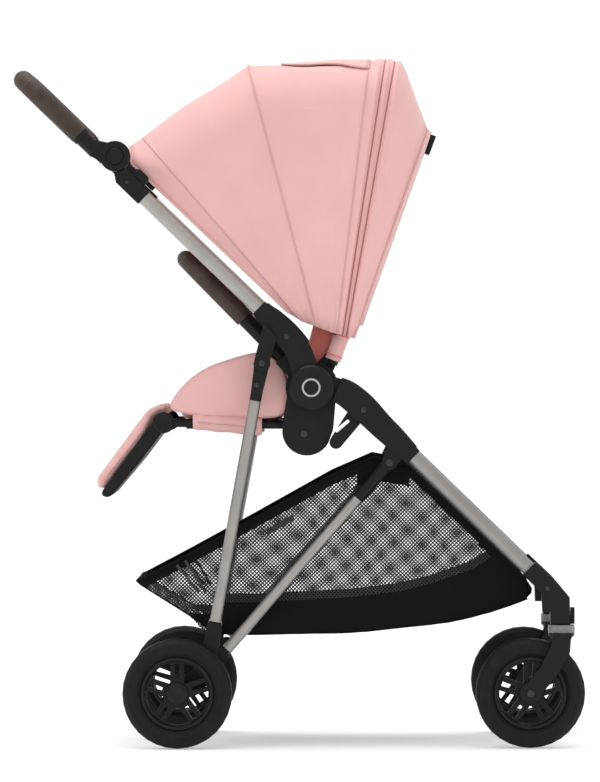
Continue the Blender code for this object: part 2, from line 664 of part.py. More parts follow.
def seat_cushion(name, pivot):
    """Seat pad with a raised wing on each side."""
    centre = prism(name, [(-0.1850, 0.4900), (-0.0170, 0.4900), (-0.0150, 0.5250), (-0.0400, 0.5330),
                          (-0.1500, 0.5400), (-0.1800, 0.5330), (-0.1890, 0.5130)],
                   (-0.1475, 0.1475))
    wing = [(-0.1940, 0.5090), (-0.1940, 0.5166), (-0.1820, 0.5370), (-0.1683, 0.5528),
            (-0.1370, 0.5710), (-0.1034, 0.5839), (-0.0720, 0.5880), (-0.0500, 0.5760),
            (-0.0330, 0.5530), (-0.0290, 0.5000), (-0.0873, 0.4984)]
    for _, side in SIDES:
        joined(centre, prism("wing", wing, layer(side, (0.1450, 0.1755))))
    return dress(centre, "pink", pivot)


def leg_rest(name, pivot):
    """Padded leg board on its pivot barrel."""
    outline = [(-0.2264, 0.4965), (-0.3065, 0.3950), (-0.3000, 0.3800), (-0.2917, 0.3759),
               (-0.2050, 0.4720)] + arc(LEGREST_PIVOT, 0.0155, -70, 110, 9)
    board = prism(name, outline, (-0.1480, 0.1480))
    for _, side in SIDES:
        cut(board, cross_rod("bore", LEGREST_PIVOT, 0.0053, layer(side, (0.1280, 0.1600))))
    return dress(board, "pink", pivot, smooth=False)


def bumper(pivot):
    """U shaped bumper bar with pegs in the seat sockets and a padded grip."""
    top = polar(HUB, 0.2720, BUMPER_ANGLE)
    bar = swept("bumper_bar", loop_path(bumper_point(0.0645), top, BUMPER_Y, 0.050), 0.0108, 14)
    for _, side in SIDES:
        joined(bar, swept("peg", [bumper_xy(0.0410, side), bumper_xy(0.0750, side)], 0.0064, 14))
    grip_path = loop_path(bumper_point(0.1450), top, BUMPER_Y, 0.050)
    grip = swept("bumper_grip", grip_path, BUMPER_RADIUS + 0.0008, 16)
    core_path = loop_path(bumper_point(0.1350), top, BUMPER_Y, 0.050)
    cut(grip, swept("core", core_path, 0.0108 + FIT, 14))
    dress(bar, "black", pivot)
    dress(grip, "leather", pivot)


def backrest(pivot):
    """Back frame tube that turns on the hub, and the padded back panel in front of it."""
    tube = swept("backrest_frame", loop_path(back_point(0.0435), back_point(0.3650), BACK_TUBE_Y, 0.050),
                 0.0095, 14)
    for _, side in SIDES:
        plate = capsule("plate", HUB, back_point(0.0560, 0.002), 0.0200, 0.0100,
                        layer(side, (0.1385, 0.1490)))
        clip = capsule("clip", back_point(0.0945, -0.0020), CANOPY_PIVOT, 0.0090, 0.0085,
                       layer(side, (0.1590, 0.1645)))
        pin = cross_rod("pin", CANOPY_PIVOT, 0.0030, layer(side, (0.1640, 0.1775)))
        bore = cross_rod("bore", HUB, 0.0060 + FIT, layer(side, (0.1300, 0.1600)))
        joined(tube, plate, clip, pin)
        cut(tube, bore)
    dress(tube, "black", pivot)
    pad = prism("backrest_pad", [back_point(0.0420, -0.0060), back_point(0.3500, -0.0060),
                                 back_point(0.3560, 0.0080), back_point(0.3480, 0.0250),
                                 back_point(0.0500, 0.0250), back_point(0.0400, 0.0100)],
                (-0.1380, 0.1380))
    corner = swept("corner", loop_path(back_point(0.0435), back_point(0.3650), BACK_TUBE_Y, 0.050),
                   0.0098, 14)
    dress(cut(pad, corner), "seat_red", pivot)


def recline_lever(name, pivot):
    """Pull loop at the top of the back that frees the recline."""
    lever = prism(name, [back_point(0.3950, -0.0205), back_point(0.4250, -0.0205),
                         back_point(0.4250, -0.0290), back_point(0.3950, -0.0290)], (-0.0250, 0.0250))
    return dress(lever, "black", pivot)


def canopy_rib(angle, radius, reach_in, half_width, corner, steps=5):
    """U section of the canopy in the plane through its pivot axis at an angle."""
    direction = Vector((math.cos(angle), 0, math.sin(angle)))
    start = Vector((CANOPY_PIVOT[0], 0, CANOPY_PIVOT[1]))
    left = [start + direction * reach_in + Vector((0, half_width, 0))]
    for i in range(steps + 1):
        turn = math.pi / 2 * i / steps
        out = radius - corner + corner * math.sin(turn)
        left.append(start + direction * out + Vector((0, half_width - corner + corner * math.cos(turn), 0)))
    return left + [Vector((p.x, -p.y, p.z)) for p in reversed(left)]


def canopy_sheet(name, stations):
    """Thin sheet over a row of ribs, each given as (degrees, radius, lower reach)."""
    work = bmesh.new()
    skins = []
    for shrink in (0.0, CANOPY_THICKNESS):
        rows = []
        for degrees, radius, reach_in in stations:
            rib = canopy_rib(math.radians(degrees), radius - shrink, reach_in,
                             CANOPY_HALF_WIDTH - shrink, CANOPY_CORNER - shrink)
            rows.append([work.verts.new(p) for p in rib])
        skins.append(rows)
    for rows in skins:
        for first, second in zip(rows, rows[1:]):
            for k in range(len(first) - 1):
                work.faces.new((first[k], first[k + 1], second[k + 1], second[k]))
    outer, inner = skins
    for end in (0, -1):
        for k in range(len(outer[end]) - 1):
            work.faces.new((outer[end][k], outer[end][k + 1], inner[end][k + 1], inner[end][k]))
        for i in range(len(outer) - 1):
            work.faces.new((outer[i][end], outer[i + 1][end], inner[i + 1][end], inner[i][end]))
    return make_object(name, finish_mesh(name, work))


def canopy_bow(name, degrees, radius, y, pivot):
    """Bow of the canopy with an eye on the pivot pin at each end."""
    angle = math.radians(degrees)
    start = polar(CANOPY_PIVOT, 0.0060, angle)
    bow = swept(name, loop_path(start, polar(CANOPY_PIVOT, radius, angle), y, 0.070), 0.0029, 8)
    for _, side in SIDES:
        joined(bow, disc("eye", CANOPY_PIVOT, 0.0080, layer(side, (y - 0.0028, y + 0.0028)), 16))
        cut(bow, cross_rod("bore", CANOPY_PIVOT, 0.0033, layer(side, (0.1500, 0.1900)), 12))
    return dress(bow, "black", pivot)


def crotch_strap(name, pivot):
    """Webbing that rises from the seat pad to the buckle."""
    strap = prism(name, [(-0.0760, 0.5395), (-0.0735, 0.5395), (-0.0655, 0.5735), (-0.0680, 0.5735)],
                  (-0.0125, 0.0125))
    return dress(strap, "webbing", pivot, smooth=False)


def shoulder_harness(name, pivot):
    """Shoulder straps with their pads, sewn to a yoke on the backrest."""
    line = [back_point(0.0700, 0.0270), back_point(0.1700, 0.0270), back_point(0.2800, 0.0270)]
    yoke = band(name, [back_point(0.2650, 0.0270), back_point(0.2850, 0.0270)], [0.0014, 0.0014],
                (-0.0550, 0.0550))
    for _, side in SIDES:
        joined(yoke, band("strap", line, [0.0012, 0.0012, 0.0012], layer(side, (0.0280, 0.0530))))
        joined(yoke, band("pad", [back_point(0.1200, 0.0295), back_point(0.2300, 0.0295)],
                          [0.0035, 0.0035], layer(side, (0.0240, 0.0570))))
    return dress(yoke, "webbing", pivot, smooth=False)


def buckle(pivot, button_pivot):
    body = prism("buckle", [(-0.0790, 0.5740), (-0.0560, 0.5745), (-0.0560, 0.5860), (-0.0790, 0.5855)],
                 (-0.0210, 0.0210))
    well = box("well", (-0.0740, -0.0085, 0.5800), (-0.0610, 0.0085, 0.6000))
    dress(cut(body, well), "black", pivot)
    dress(box("buckle_button", (-0.0736, -0.0081, 0.5826), (-0.0614, 0.0081, 0.5880)), "black", button_pivot)


# ---------------------------------------------------------------- assembly

def build_front(root):
    front_parts = []
    for label, side in SIDES:
        front_parts.append(front_arm(f"front_arm_{label}", side))
        front_parts.append(hub_cover(f"hub_cover_{label}", side))
        front_parts.append(front_tube(f"front_tube_{label}", side))
        front_parts.append(caster_housing(f"caster_housing_{label}", side))
        y = side * FRONT_WHEEL[1]
        lock = pivot_at(f"swivel_lock_axis_{label}", 0.4110, y, 0.1990)
        swivel_lock(f"swivel_lock_{label}", side, lock)
        swivel = pivot_at(f"caster_axis_{label}", CASTER_X, y, 0.1800)
        fork(f"fork_{label}", side, swivel)
        spin = pivot_at(f"front_axle_{label}", FRONT_WHEEL[0], y, FRONT_WHEEL[2], swivel)
        centre = (FRONT_WHEEL[0], y, FRONT_WHEEL[2])
        tyre(f"front_tyre_{label}", centre, spin)
        rim(f"front_rim_{label}", centre, spin, side, False)
    crossbar = cross_rod("front_crossbar", (0.3560, 0.2520), 0.0080, (-0.1852, 0.1852), 20)
    front_parts.append(dress(crossbar, "anodised"))
    front_parts.append(basket("basket"))
    for made in front_parts:
        made.parent = root


def build_handle():
    fold = pivot_at("fold_axis", HUB[0], 0, HUB[1])
    hinge = along(HANDLE_HINGE_S, HANDLE_HINGE_RISE)
    turn = pivot_at("handlebar_axis", hinge[0], 0, hinge[1], fold)
    for label, side in SIDES:
        handle_arm(f"handle_arm_{label}", side, fold)
        handle_tube(f"handle_tube_{label}", side, fold)
        handle_joint(f"handle_joint_{label}", side, fold)
        x, z = along(-0.404, 0.019)
        slide = pivot_at(f"fold_trigger_axis_{label}", x, side * FRAME_Y, z, fold)
        fold_trigger(f"fold_trigger_{label}", side, slide)
        press = pivot_at(f"handle_button_axis_{label}", hinge[0], side * 0.2080, hinge[1], turn)
        handle_button(f"handle_button_{label}", side, press)
    handlebar(turn)
    return fold


def build_rear(fold):
    leg_axis = pivot_at("rear_leg_axis", LEG_PIVOT[0], 0, LEG_PIVOT[1], fold)
    strut_axis = pivot_at("strut_axis", STRUT_PIVOT[0], 0, STRUT_PIVOT[1])
    for label, side in SIDES:
        leg_sleeve(f"leg_sleeve_{label}", side, leg_axis)
        rear_leg(f"rear_leg_{label}", side, leg_axis)
        strut_sleeve(f"strut_sleeve_{label}", side, strut_axis)
        strut(f"strut_{label}", side, strut_axis)
        y = side * REAR_WHEEL[1]
        spin = pivot_at(f"rear_axle_{label}", REAR_WHEEL[0], y, REAR_WHEEL[2], strut_axis)
        centre = (REAR_WHEEL[0], y, REAR_WHEEL[2])
        tyre(f"rear_tyre_{label}", centre, spin)
        rim(f"rear_rim_{label}", centre, spin, side, True)
    rear_axle("rear_axle", strut_axis)
    pedal_axis = pivot_at("brake_axis", FOOT_PIVOT[0], -0.12, FOOT_PIVOT[1], strut_axis)
    brake_pedal("brake_pedal", pedal_axis)


def build_seat():
    lift = pivot_at("seat_lift_axis", HUB[0], 0, HUB[1])
    seat_base("seat_base", lift)
    seat_cushion("seat_cushion", lift)
    crotch_strap("crotch_strap", lift)
    buckle(lift, pivot_at("buckle_button_axis", -0.0675, 0, 0.5850, lift))
    leg_rest("leg_rest", pivot_at("leg_rest_axis", LEGREST_PIVOT[0], 0, LEGREST_PIVOT[1], lift))
    bumper(pivot_at("bumper_axis", *bumper_xy(0.0645, 0), lift))
    recline = pivot_at("recline_axis", HUB[0], 0, HUB[1], lift)
    backrest(recline)
    shoulder_harness("shoulder_harness", recline)
    x, z = back_point(0.4100, -0.0250)
    recline_lever("recline_lever", pivot_at("recline_lever_axis", x, 0, z, recline))
    rear = canopy_sheet("canopy_rear_panel", [(79.0, 0.4125, 0.020), (74.0, 0.4140, 0.020),
                                              (68.0, 0.3683, 0.024), (62.8, 0.3350, 0.030)])
    dress(rear, "pink", recline)
    front_axis = pivot_at("canopy_front_axis", CANOPY_PIVOT[0], 0, CANOPY_PIVOT[1], recline)
    mid_axis = pivot_at("canopy_mid_axis", CANOPY_PIVOT[0], 0, CANOPY_PIVOT[1], recline)
    cover = canopy_sheet("canopy_cover", [(140.5, 0.4080, 0.110), (123.0, 0.4000, 0.050),
                                          (106.8, 0.4100, 0.035), (93.0, 0.3960, 0.022),
                                          (79.4, 0.4070, 0.020)])
    dress(cover, "pink", mid_axis)
    canopy_bow("canopy_bow_front", 137.7, 0.3960, 0.1740, front_axis)
    canopy_bow("canopy_bow_mid", 106.8, 0.4010, 0.1680, mid_axis)


def main():
    for old in list(bpy.data.objects):
        bpy.data.objects.remove(old)
    root = pivot_at("front_frame", 0, 0, 0)
    build_front(root)
    fold = build_handle()
    build_rear(fold)
    build_seat()


main()
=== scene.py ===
import math

import bmesh
import bpy
import numpy as np
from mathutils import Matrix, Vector, noise


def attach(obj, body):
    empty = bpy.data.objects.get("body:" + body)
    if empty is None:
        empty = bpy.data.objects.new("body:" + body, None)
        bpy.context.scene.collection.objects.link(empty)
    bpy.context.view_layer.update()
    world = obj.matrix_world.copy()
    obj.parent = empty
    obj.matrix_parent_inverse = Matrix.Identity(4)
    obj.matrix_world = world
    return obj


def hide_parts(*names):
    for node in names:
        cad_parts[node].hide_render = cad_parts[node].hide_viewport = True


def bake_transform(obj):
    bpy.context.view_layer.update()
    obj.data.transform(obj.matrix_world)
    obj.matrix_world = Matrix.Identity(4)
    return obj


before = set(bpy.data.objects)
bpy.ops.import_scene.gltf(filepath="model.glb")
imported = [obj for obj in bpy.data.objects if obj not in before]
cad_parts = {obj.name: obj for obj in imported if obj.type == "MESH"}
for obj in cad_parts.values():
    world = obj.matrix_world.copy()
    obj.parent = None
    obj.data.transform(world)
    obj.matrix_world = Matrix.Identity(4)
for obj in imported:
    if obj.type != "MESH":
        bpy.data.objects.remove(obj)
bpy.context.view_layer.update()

# Driving places: (x, z) pairs in metres, y as a distance from the middle plane.
SIDES = (("right", -1), ("left", 1))
PIVOT = (0.0424, 0.6355)          # the canopy's bows turn here
HUB = (0.0188, 0.5414)            # fold joint
KNEE = (-0.2043, 0.4881)          # leg rest hinge
FOOT = (-0.1395, 0.1109)          # lower end of the rear leg
LEG_TOP = (-0.0552, 0.5778)       # upper end of the rear leg
REAR_WHEEL = (-0.1821, 0.0825)
FRONT_WHEEL = (0.3482, 0.0825)
CASTER_X = 0.3950
REAR_WHEEL_Y = 0.2255
FRONT_WHEEL_Y = 0.2000
ARM_FACE_Y = 0.2080               # outer face of the frame's arms
HUB_FACE_Y = 0.2165
HANDLE_Y = 0.197
BACK_TUBE_Y = 0.157
BASKET_Y = 0.1722
WING_Y = (0.1480, 0.1725)
RIB_Y = 0.1838                    # canopy's half width over a rib
BETWEEN_Y = 0.1830                # and between two ribs
VALLEY_Y = 0.1785                 # and in a fold
BACK = math.radians(69.6)         # slope of the backrest
HANDLE = math.radians(-44.0)      # slope of the handle tube
PRESSURE = 4.0                    # inside a pad, for the cloth simulation
PINK = (0.725, 0.425, 0.405)
# Deep rose of the inside cloth: partly the cloth's own darker pink, partly painted shade of the dim space
# inside the canopy and behind the backrest.
ROSE_WITH_PAINTED_SHADE = (0.70, 0.205, 0.175)


# ------------------------------------------------------------------ materials

class Nodes:
    """Short hand for wiring one material."""

    def __init__(self, name):
        self.material = bpy.data.materials.new(name)
        self.material.use_nodes = True
        self.tree = self.material.node_tree
        self.shader = self.tree.nodes["Principled BSDF"]
        self.place = self.add("ShaderNodeTexCoord").outputs["Object"]

    def add(self, kind, **inputs):
        node = self.tree.nodes.new(kind)
        for key, value in inputs.items():
            socket = node.inputs[key.replace("_", " ")]
            if isinstance(value, bpy.types.NodeSocket):
                self.tree.links.new(value, socket)
            else:
                socket.default_value = value
        return node

    def math(self, operation, a, b=None):
        node = self.tree.nodes.new("ShaderNodeMath")
        node.operation = operation
        for socket, value in zip(node.inputs, (a, b)):
            if isinstance(value, bpy.types.NodeSocket):
                self.tree.links.new(value, socket)
            elif value is not None:
                socket.default_value = value
        return node.outputs[0]

    def noise(self, scale, detail=3.0, vector=None):
        node = self.add("ShaderNodeTexNoise", Vector=vector or self.place, Scale=scale, Detail=detail)
        return node.outputs["Fac"]

    def ramp(self, fac, stops):
        node = self.add("ShaderNodeValToRGB", Fac=fac)
        elements = node.color_ramp.elements
        for element, (position, colour) in zip(elements, (stops[0], stops[-1])):
            element.position = position
            element.color = (*colour, 1.0)
        return node.outputs["Color"]

    def spread(self, fac, low, high):
        node = self.add("ShaderNodeMapRange", Value=fac)
        node.inputs["To Min"].default_value = low
        node.inputs["To Max"].default_value = high
        return node.outputs["Result"]

    def bump(self, height, distance, strength=1.0, normal=None):
        node = self.add("ShaderNodeBump", Height=height, Distance=distance, Strength=strength)
        if normal is not None:
            self.tree.links.new(normal, node.inputs["Normal"])
        return node.outputs["Normal"]

    def feed(self, **inputs):
        for key, value in inputs.items():
            socket = self.shader.inputs[key.replace("_", " ")]
            if isinstance(value, bpy.types.NodeSocket):
                self.tree.links.new(value, socket)
            else:
                socket.default_value = value
        return self.material


def shade(colour, factor):
    return tuple(min(1.0, c * factor) for c in colour)


def weave_height(n, pitch):
    """Over and under threads along X, Y and Z at the given pitch in metres."""
    total = None
    for axis in ("X", "Y", "Z"):
        wave = n.add("ShaderNodeTexWave", Vector=n.place, Scale=0.314 / pitch, Distortion=0.15)
        wave.bands_direction = axis
        total = wave.outputs["Fac"] if total is None else n.math("ADD", total, wave.outputs["Fac"])
    return total


def woven(name, colour, pitch=0.0009, wrinkle=0.0010, sheen=0.25, rough=0.82):
    n = Nodes(name)
    tint = n.ramp(n.noise(9.0, 4.0), [(0.25, shade(colour, 0.95)), (0.75, shade(colour, 1.05))])
    height = n.bump(weave_height(n, pitch), 0.00012, 0.6)
    soft = n.bump(n.noise(14.0, 2.0), wrinkle, 0.5, height)
    slub = n.spread(n.noise(420.0, 2.0), rough - 0.06, rough + 0.08)
    return n.feed(Base_Color=tint, Normal=soft, Roughness=slub, Sheen_Weight=sheen, Sheen_Roughness=0.4,
                  Specular_IOR_Level=0.12)


def plastic(name, level=0.0045, rough=0.42, grain=1.0):
    n = Nodes(name)
    tone = n.ramp(n.noise(40.0, 4.0), [(0.3, (level * 0.85,) * 3), (0.7, (level * 1.2,) * 3)])
    rounded = n.add("ShaderNodeBevel", Radius=0.0012)
    rounded.samples = 4
    height = n.bump(n.noise(1400.0, 2.0), 0.00008 * grain, 0.7, rounded.outputs["Normal"])
    gloss = n.spread(n.noise(70.0, 3.0), rough - 0.05, rough + 0.07)
    return n.feed(Base_Color=tone, Normal=height, Roughness=gloss, Specular_IOR_Level=0.20)


def anodised(name, colour=(0.325, 0.307, 0.290), rough=0.30):
    n = Nodes(name)
    tone = n.ramp(n.noise(30.0, 3.0), [(0.3, shade(colour, 0.94)), (0.7, shade(colour, 1.06))])
    height = n.bump(n.noise(2200.0, 2.0), 0.00003, 0.6)
    gloss = n.spread(n.noise(900.0, 2.0), rough - 0.05, rough + 0.07)
    return n.feed(Base_Color=tone, Normal=height, Roughness=gloss, Metallic=0.9)


def leather(name, colour=(0.042, 0.026, 0.019)):
    n = Nodes(name)
    cells = n.add("ShaderNodeTexVoronoi", Vector=n.place, Scale=620.0)
    grain = n.math("ADD", cells.outputs["Distance"], n.noise(900.0, 4.0))
    tone = n.ramp(n.noise(55.0, 5.0), [(0.3, shade(colour, 0.70)), (0.75, shade(colour, 1.35))])
    gloss = n.spread(n.noise(240.0, 3.0), 0.44, 0.66)
    return n.feed(Base_Color=tone, Normal=n.bump(grain, 0.00035, 0.7), Roughness=gloss,
                  Specular_IOR_Level=0.30)


def rubber(name):
    n = Nodes(name)
    tone = n.ramp(n.noise(60.0, 4.0), [(0.3, (0.004,) * 3), (0.7, (0.007,) * 3)])
    height = n.bump(n.noise(700.0, 3.0), 0.00025, 0.7)
    gloss = n.spread(n.noise(90.0, 3.0), 0.46, 0.60)
    return n.feed(Base_Color=tone, Normal=height, Roughness=gloss, Specular_IOR_Level=0.18)


def webbing(name, level=0.018):
    n = Nodes(name)
    wave = n.add("ShaderNodeTexWave", Vector=n.place, Scale=210.0, Distortion=0.3)
    wave.bands_direction = "DIAGONAL"
    tone = n.ramp(wave.outputs["Fac"], [(0.2, (level * 0.6,) * 3), (0.8, (level * 1.7,) * 3)])
    return n.feed(Base_Color=tone, Normal=n.bump(wave.outputs["Fac"], 0.0003, 0.8), Roughness=0.72,
                  Sheen_Weight=0.15)


def steel(name, level=0.42, rough=0.28):
    n = Nodes(name)
    tone = n.ramp(n.noise(120.0, 3.0), [(0.3, (level * 0.9,) * 3), (0.7, (level * 1.1,) * 3)])
    gloss = n.spread(n.noise(500.0, 2.0), rough - 0.05, rough + 0.08)
    return n.feed(Base_Color=tone, Roughness=gloss, Metallic=1.0)


def netting(name, across, up, pitch=0.0041, hole=0.305, turn=45.0):
    """Knitted net with open cells; across and up are the two axes, X Y or Z, that lie in the cloth."""
    cos, sin = math.cos(math.radians(turn)), math.sin(math.radians(turn))
    n = Nodes(name)
    parts = n.add("ShaderNodeSeparateXYZ", Vector=n.place)
    a, b = parts.outputs[across], parts.outputs[up]
    drape = n.add("ShaderNodeCombineXYZ", X=a, Y=n.math("MULTIPLY", b, 0.45), Z=turn)
    a = n.math("ADD", a, n.math("MULTIPLY", n.noise(9.0, 1.0, drape.outputs[0]), 0.007))
    turned_a = n.math("ADD", n.math("MULTIPLY", a, cos), n.math("MULTIPLY", b, sin))
    turned_b = n.math("SUBTRACT", n.math("MULTIPLY", a, sin), n.math("MULTIPLY", b, cos))
    spot = n.add("ShaderNodeCombineXYZ", X=turned_a, Y=turned_b)
    cells = n.add("ShaderNodeTexVoronoi", Vector=spot.outputs[0], Scale=1.0 / pitch, Randomness=0.0)
    cells.voronoi_dimensions = "2D"
    solid = n.math("GREATER_THAN", cells.outputs["Distance"], hole)
    tone = n.ramp(n.noise(300.0, 3.0), [(0.3, (0.018,) * 3), (0.7, (0.028,) * 3)])
    return n.feed(Base_Color=tone, Roughness=0.7, Alpha=solid, Specular_IOR_Level=0.2,
                  Normal=n.bump(cells.outputs["Distance"], 0.0003, 0.6))


def clear_grey(name):
    n = Nodes(name)
    tone = n.ramp(n.noise(80.0, 3.0), [(0.3, (0.15, 0.155, 0.16)), (0.7, (0.19, 0.195, 0.20))])
    gloss = n.spread(n.noise(400.0, 2.0), 0.22, 0.34)
    return n.feed(Base_Color=tone, Roughness=gloss, Subsurface_Weight=0.15, Subsurface_Radius=(0.01,) * 3)


CANOPY_CLOTH = woven("canopy_cloth", PINK, 0.0007, 0.0014)
PAD_CLOTH = woven("pad_cloth", shade(PINK, 0.97), 0.0009, 0.0012)
# Inside cloth in deep rose, partly painted shade.
INNER_CLOTH_WITH_PAINTED_SHADE = woven("inner_cloth_with_painted_shade", ROSE_WITH_PAINTED_SHADE, 0.0009, 0.0012)
# Dark red for lines laid along the canopy's folds: painted shade in the creases.
FOLD_PAINTED_SHADE = woven("fold_painted_shade", (0.40, 0.160, 0.145), 0.0006, 0.0002)
# Darker pink for thread and piping; on the window's binding it also paints the shade line under the flap's
# edge.
THREAD = woven("thread", shade(PINK, 0.84), 0.0006, 0.0002)
BLACK = plastic("moulded_black")
SOFT_BLACK = plastic("soft_touch_black", 0.005, 0.55, 1.6)
GLOSS_BLACK = plastic("satin_black_trim", 0.006, 0.30, 0.4)
RIM_BLACK = plastic("wheel_black", 0.003, 0.38)
TUBE = anodised("anodised_tube", rough=0.40)
# Lighter and darker copies of the plain anodised tube: painted light on the handle tube, painted shade on
# the front tube.
TUBE_PAINTED_LIGHT = anodised("anodised_tube_painted_light", (0.355, 0.340, 0.318), 0.42)
TUBE_PAINTED_SHADE = anodised("anodised_tube_painted_shade", (0.285, 0.271, 0.256), 0.40)
LEATHER = leather("grip_leather")
DARK_THREAD = leather("grip_thread", (0.030, 0.024, 0.020))
RUBBER = rubber("tyre_rubber")
WEB = webbing("black_webbing")
STEEL = steel("bright_steel")
DARK_STEEL = steel("dark_steel", 0.055, 0.38)
NET_SIDE = {-1: netting("net_side_right", "X", "Z"),
            1: netting("net_side_left", "X", "Z", 0.0037, 0.430, 44.5)}
NET_REAR = netting("net_rear", "Y", "X")
BLACK_CLOTH = woven("black_basket_cloth", (0.0045, 0.0045, 0.0050), 0.0008, 0.0012, 0.0, 0.86)
GREY_CLEAR = clear_grey("smoked_clear")
TAG = woven("tag_cloth", (0.035, 0.035, 0.037), 0.0006, 0.0003, 0.1)

NODE_LOOKS = (
    # Handle tube and front tube: the same anodised tube with painted light and painted shade.
    (("handle_tube",), TUBE_PAINTED_LIGHT),
    (("front_tube",), TUBE_PAINTED_SHADE),
    (("rear_leg", "strut_left", "strut_right", "front_crossbar"), TUBE),
    (("handlebar_grip", "bumper_grip"), LEATHER),
    (("front_tyre", "rear_tyre"), RUBBER),
    (("front_rim", "rear_rim"), RIM_BLACK),
    (("shoulder_harness", "crotch_strap"), WEB),
    (("hub_cover",), GLOSS_BLACK),
    (("handle_button", "fold_trigger", "brake_pedal", "recline_lever", "swivel_lock"), SOFT_BLACK),
)


def look_of(node):
    for starts, material in NODE_LOOKS:
        if node.startswith(starts):
            return material
    return BLACK


for node_name, node_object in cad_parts.items():
    for slot_index in range(max(1, len(node_object.material_slots))):
        if node_object.material_slots:
            node_object.material_slots[slot_index].material = look_of(node_name)
        else:
            node_object.data.materials.append(look_of(node_name))


# ------------------------------------------------------------------ mesh helpers

def new_object(name, work, material, angle=40):
    bmesh.ops.recalc_face_normals(work, faces=work.faces)
    mesh = bpy.data.meshes.new(name)
    work.to_mesh(mesh)
    work.free()
    mesh.materials.append(material)
    made = bpy.data.objects.new(name, mesh)
    bpy.context.scene.collection.objects.link(made)
    mesh.shade_smooth()
    mesh.set_sharp_from_angle(angle=math.radians(angle))
    return made


def apply_all(made):
    """Replace the mesh by its evaluated form, so no modifier is left."""
    graph = bpy.context.evaluated_depsgraph_get()
    mesh = bpy.data.meshes.new_from_object(made.evaluated_get(graph))
    made.modifiers.clear()
    made.data = mesh
    return made


def prism(name, outline, y_low, y_high, material, bevel=0.0):
    """Flat plate with an outline of (x, z) points between two y values."""
    work = bmesh.new()
    low = [work.verts.new((x, y_low, z)) for x, z in outline]
    high = [work.verts.new((x, y_high, z)) for x, z in outline]
    work.faces.new(low)
    work.faces.new(high)
    for i in range(len(outline)):
        j = (i + 1) % len(outline)
        work.faces.new((low[i], low[j], high[j], high[i]))
    made = new_object(name, work, material)
    if bevel:
        modifier = made.modifiers.new("bevel", "BEVEL")
        modifier.width = bevel
        modifier.segments = 3
        modifier.angle_limit = math.radians(30)
        apply_all(made)
        made.data.shade_smooth()
    return made


def tube(name, points, radius, material, segments=8, closed=False):
    """Round bar along a path."""
    path = [Vector(p) for p in points]
    count = len(path)
    work = bmesh.new()
    rings = []
    side = None
    for i, point in enumerate(path):
        before = path[(i - 1) % count] if closed or i else path[0]
        after = path[(i + 1) % count] if closed or i < count - 1 else path[-1]
        tangent = (after - before).normalized()
        side = tangent.orthogonal() if side is None else side - tangent * side.dot(tangent)
        side.normalize()
        other = tangent.cross(side)
        ring = []
        for k in range(segments):
            turn = 2 * math.pi * k / segments
            offset = (side * math.cos(turn) + other * math.sin(turn)) * radius
            ring.append(work.verts.new(point + offset))
        rings.append(ring)
    pairs = list(zip(rings, rings[1:])) + ([(rings[-1], rings[0])] if closed else [])
    for first, second in pairs:
        for k in range(segments):
            n = (k + 1) % segments
            work.faces.new((first[k], first[n], second[n], second[k]))
    if not closed:
        work.faces.new(rings[0])
        work.faces.new(rings[-1])
    return new_object(name, work, material)


def turned(name, profile, centre, material, axis="Y", segments=36):
    """Revolved solid about Y or Z. The profile lists (radius, height); a ring when no radius is 0."""
    work = bmesh.new()
    rings = []
    for radius, height in profile:
        ring = []
        for k in range(1 if radius == 0 else segments):
            turn = 2 * math.pi * k / segments
            a, b = radius * math.cos(turn), radius * math.sin(turn)
            spot = (a, height, b) if axis == "Y" else (a, b, height)
            ring.append(work.verts.new(Vector(centre) + Vector(spot)))
        rings.append(ring)
    pairs = list(zip(rings, rings[1:]))
    if profile[0][0] and profile[-1][0]:
        pairs.append((rings[-1], rings[0]))
    for first, second in pairs:
        for k in range(segments):
            n = (k + 1) % segments
            if len(first) == 1:
                work.faces.new((first[0], second[k], second[n]))
            elif len(second) == 1:
                work.faces.new((first[k], first[n], second[0]))
            else:
                work.faces.new((first[k], first[n], second[n], second[k]))
    return new_object(name, work, material, 50)


def smooth_line(points, per_span=6):
    """Catmull-Rom points through a list of tuples of any size."""
    ends = [points[0]] + list(points) + [points[-1]]
    out = []
    for i in range(1, len(ends) - 2):
        p0, p1, p2, p3 = (np.array(ends[j], float) for j in (i - 1, i, i + 1, i + 2))
        for k in range(per_span):
            t = k / per_span
            out.append(0.5 * (2 * p1 + (p2 - p0) * t + (2 * p0 - 5 * p1 + 4 * p2 - p3) * t * t
                              + (3 * p1 - p0 - 3 * p2 + p3) * t ** 3))
    out.append(np.array(points[-1], float))
    return [tuple(p) for p in out]


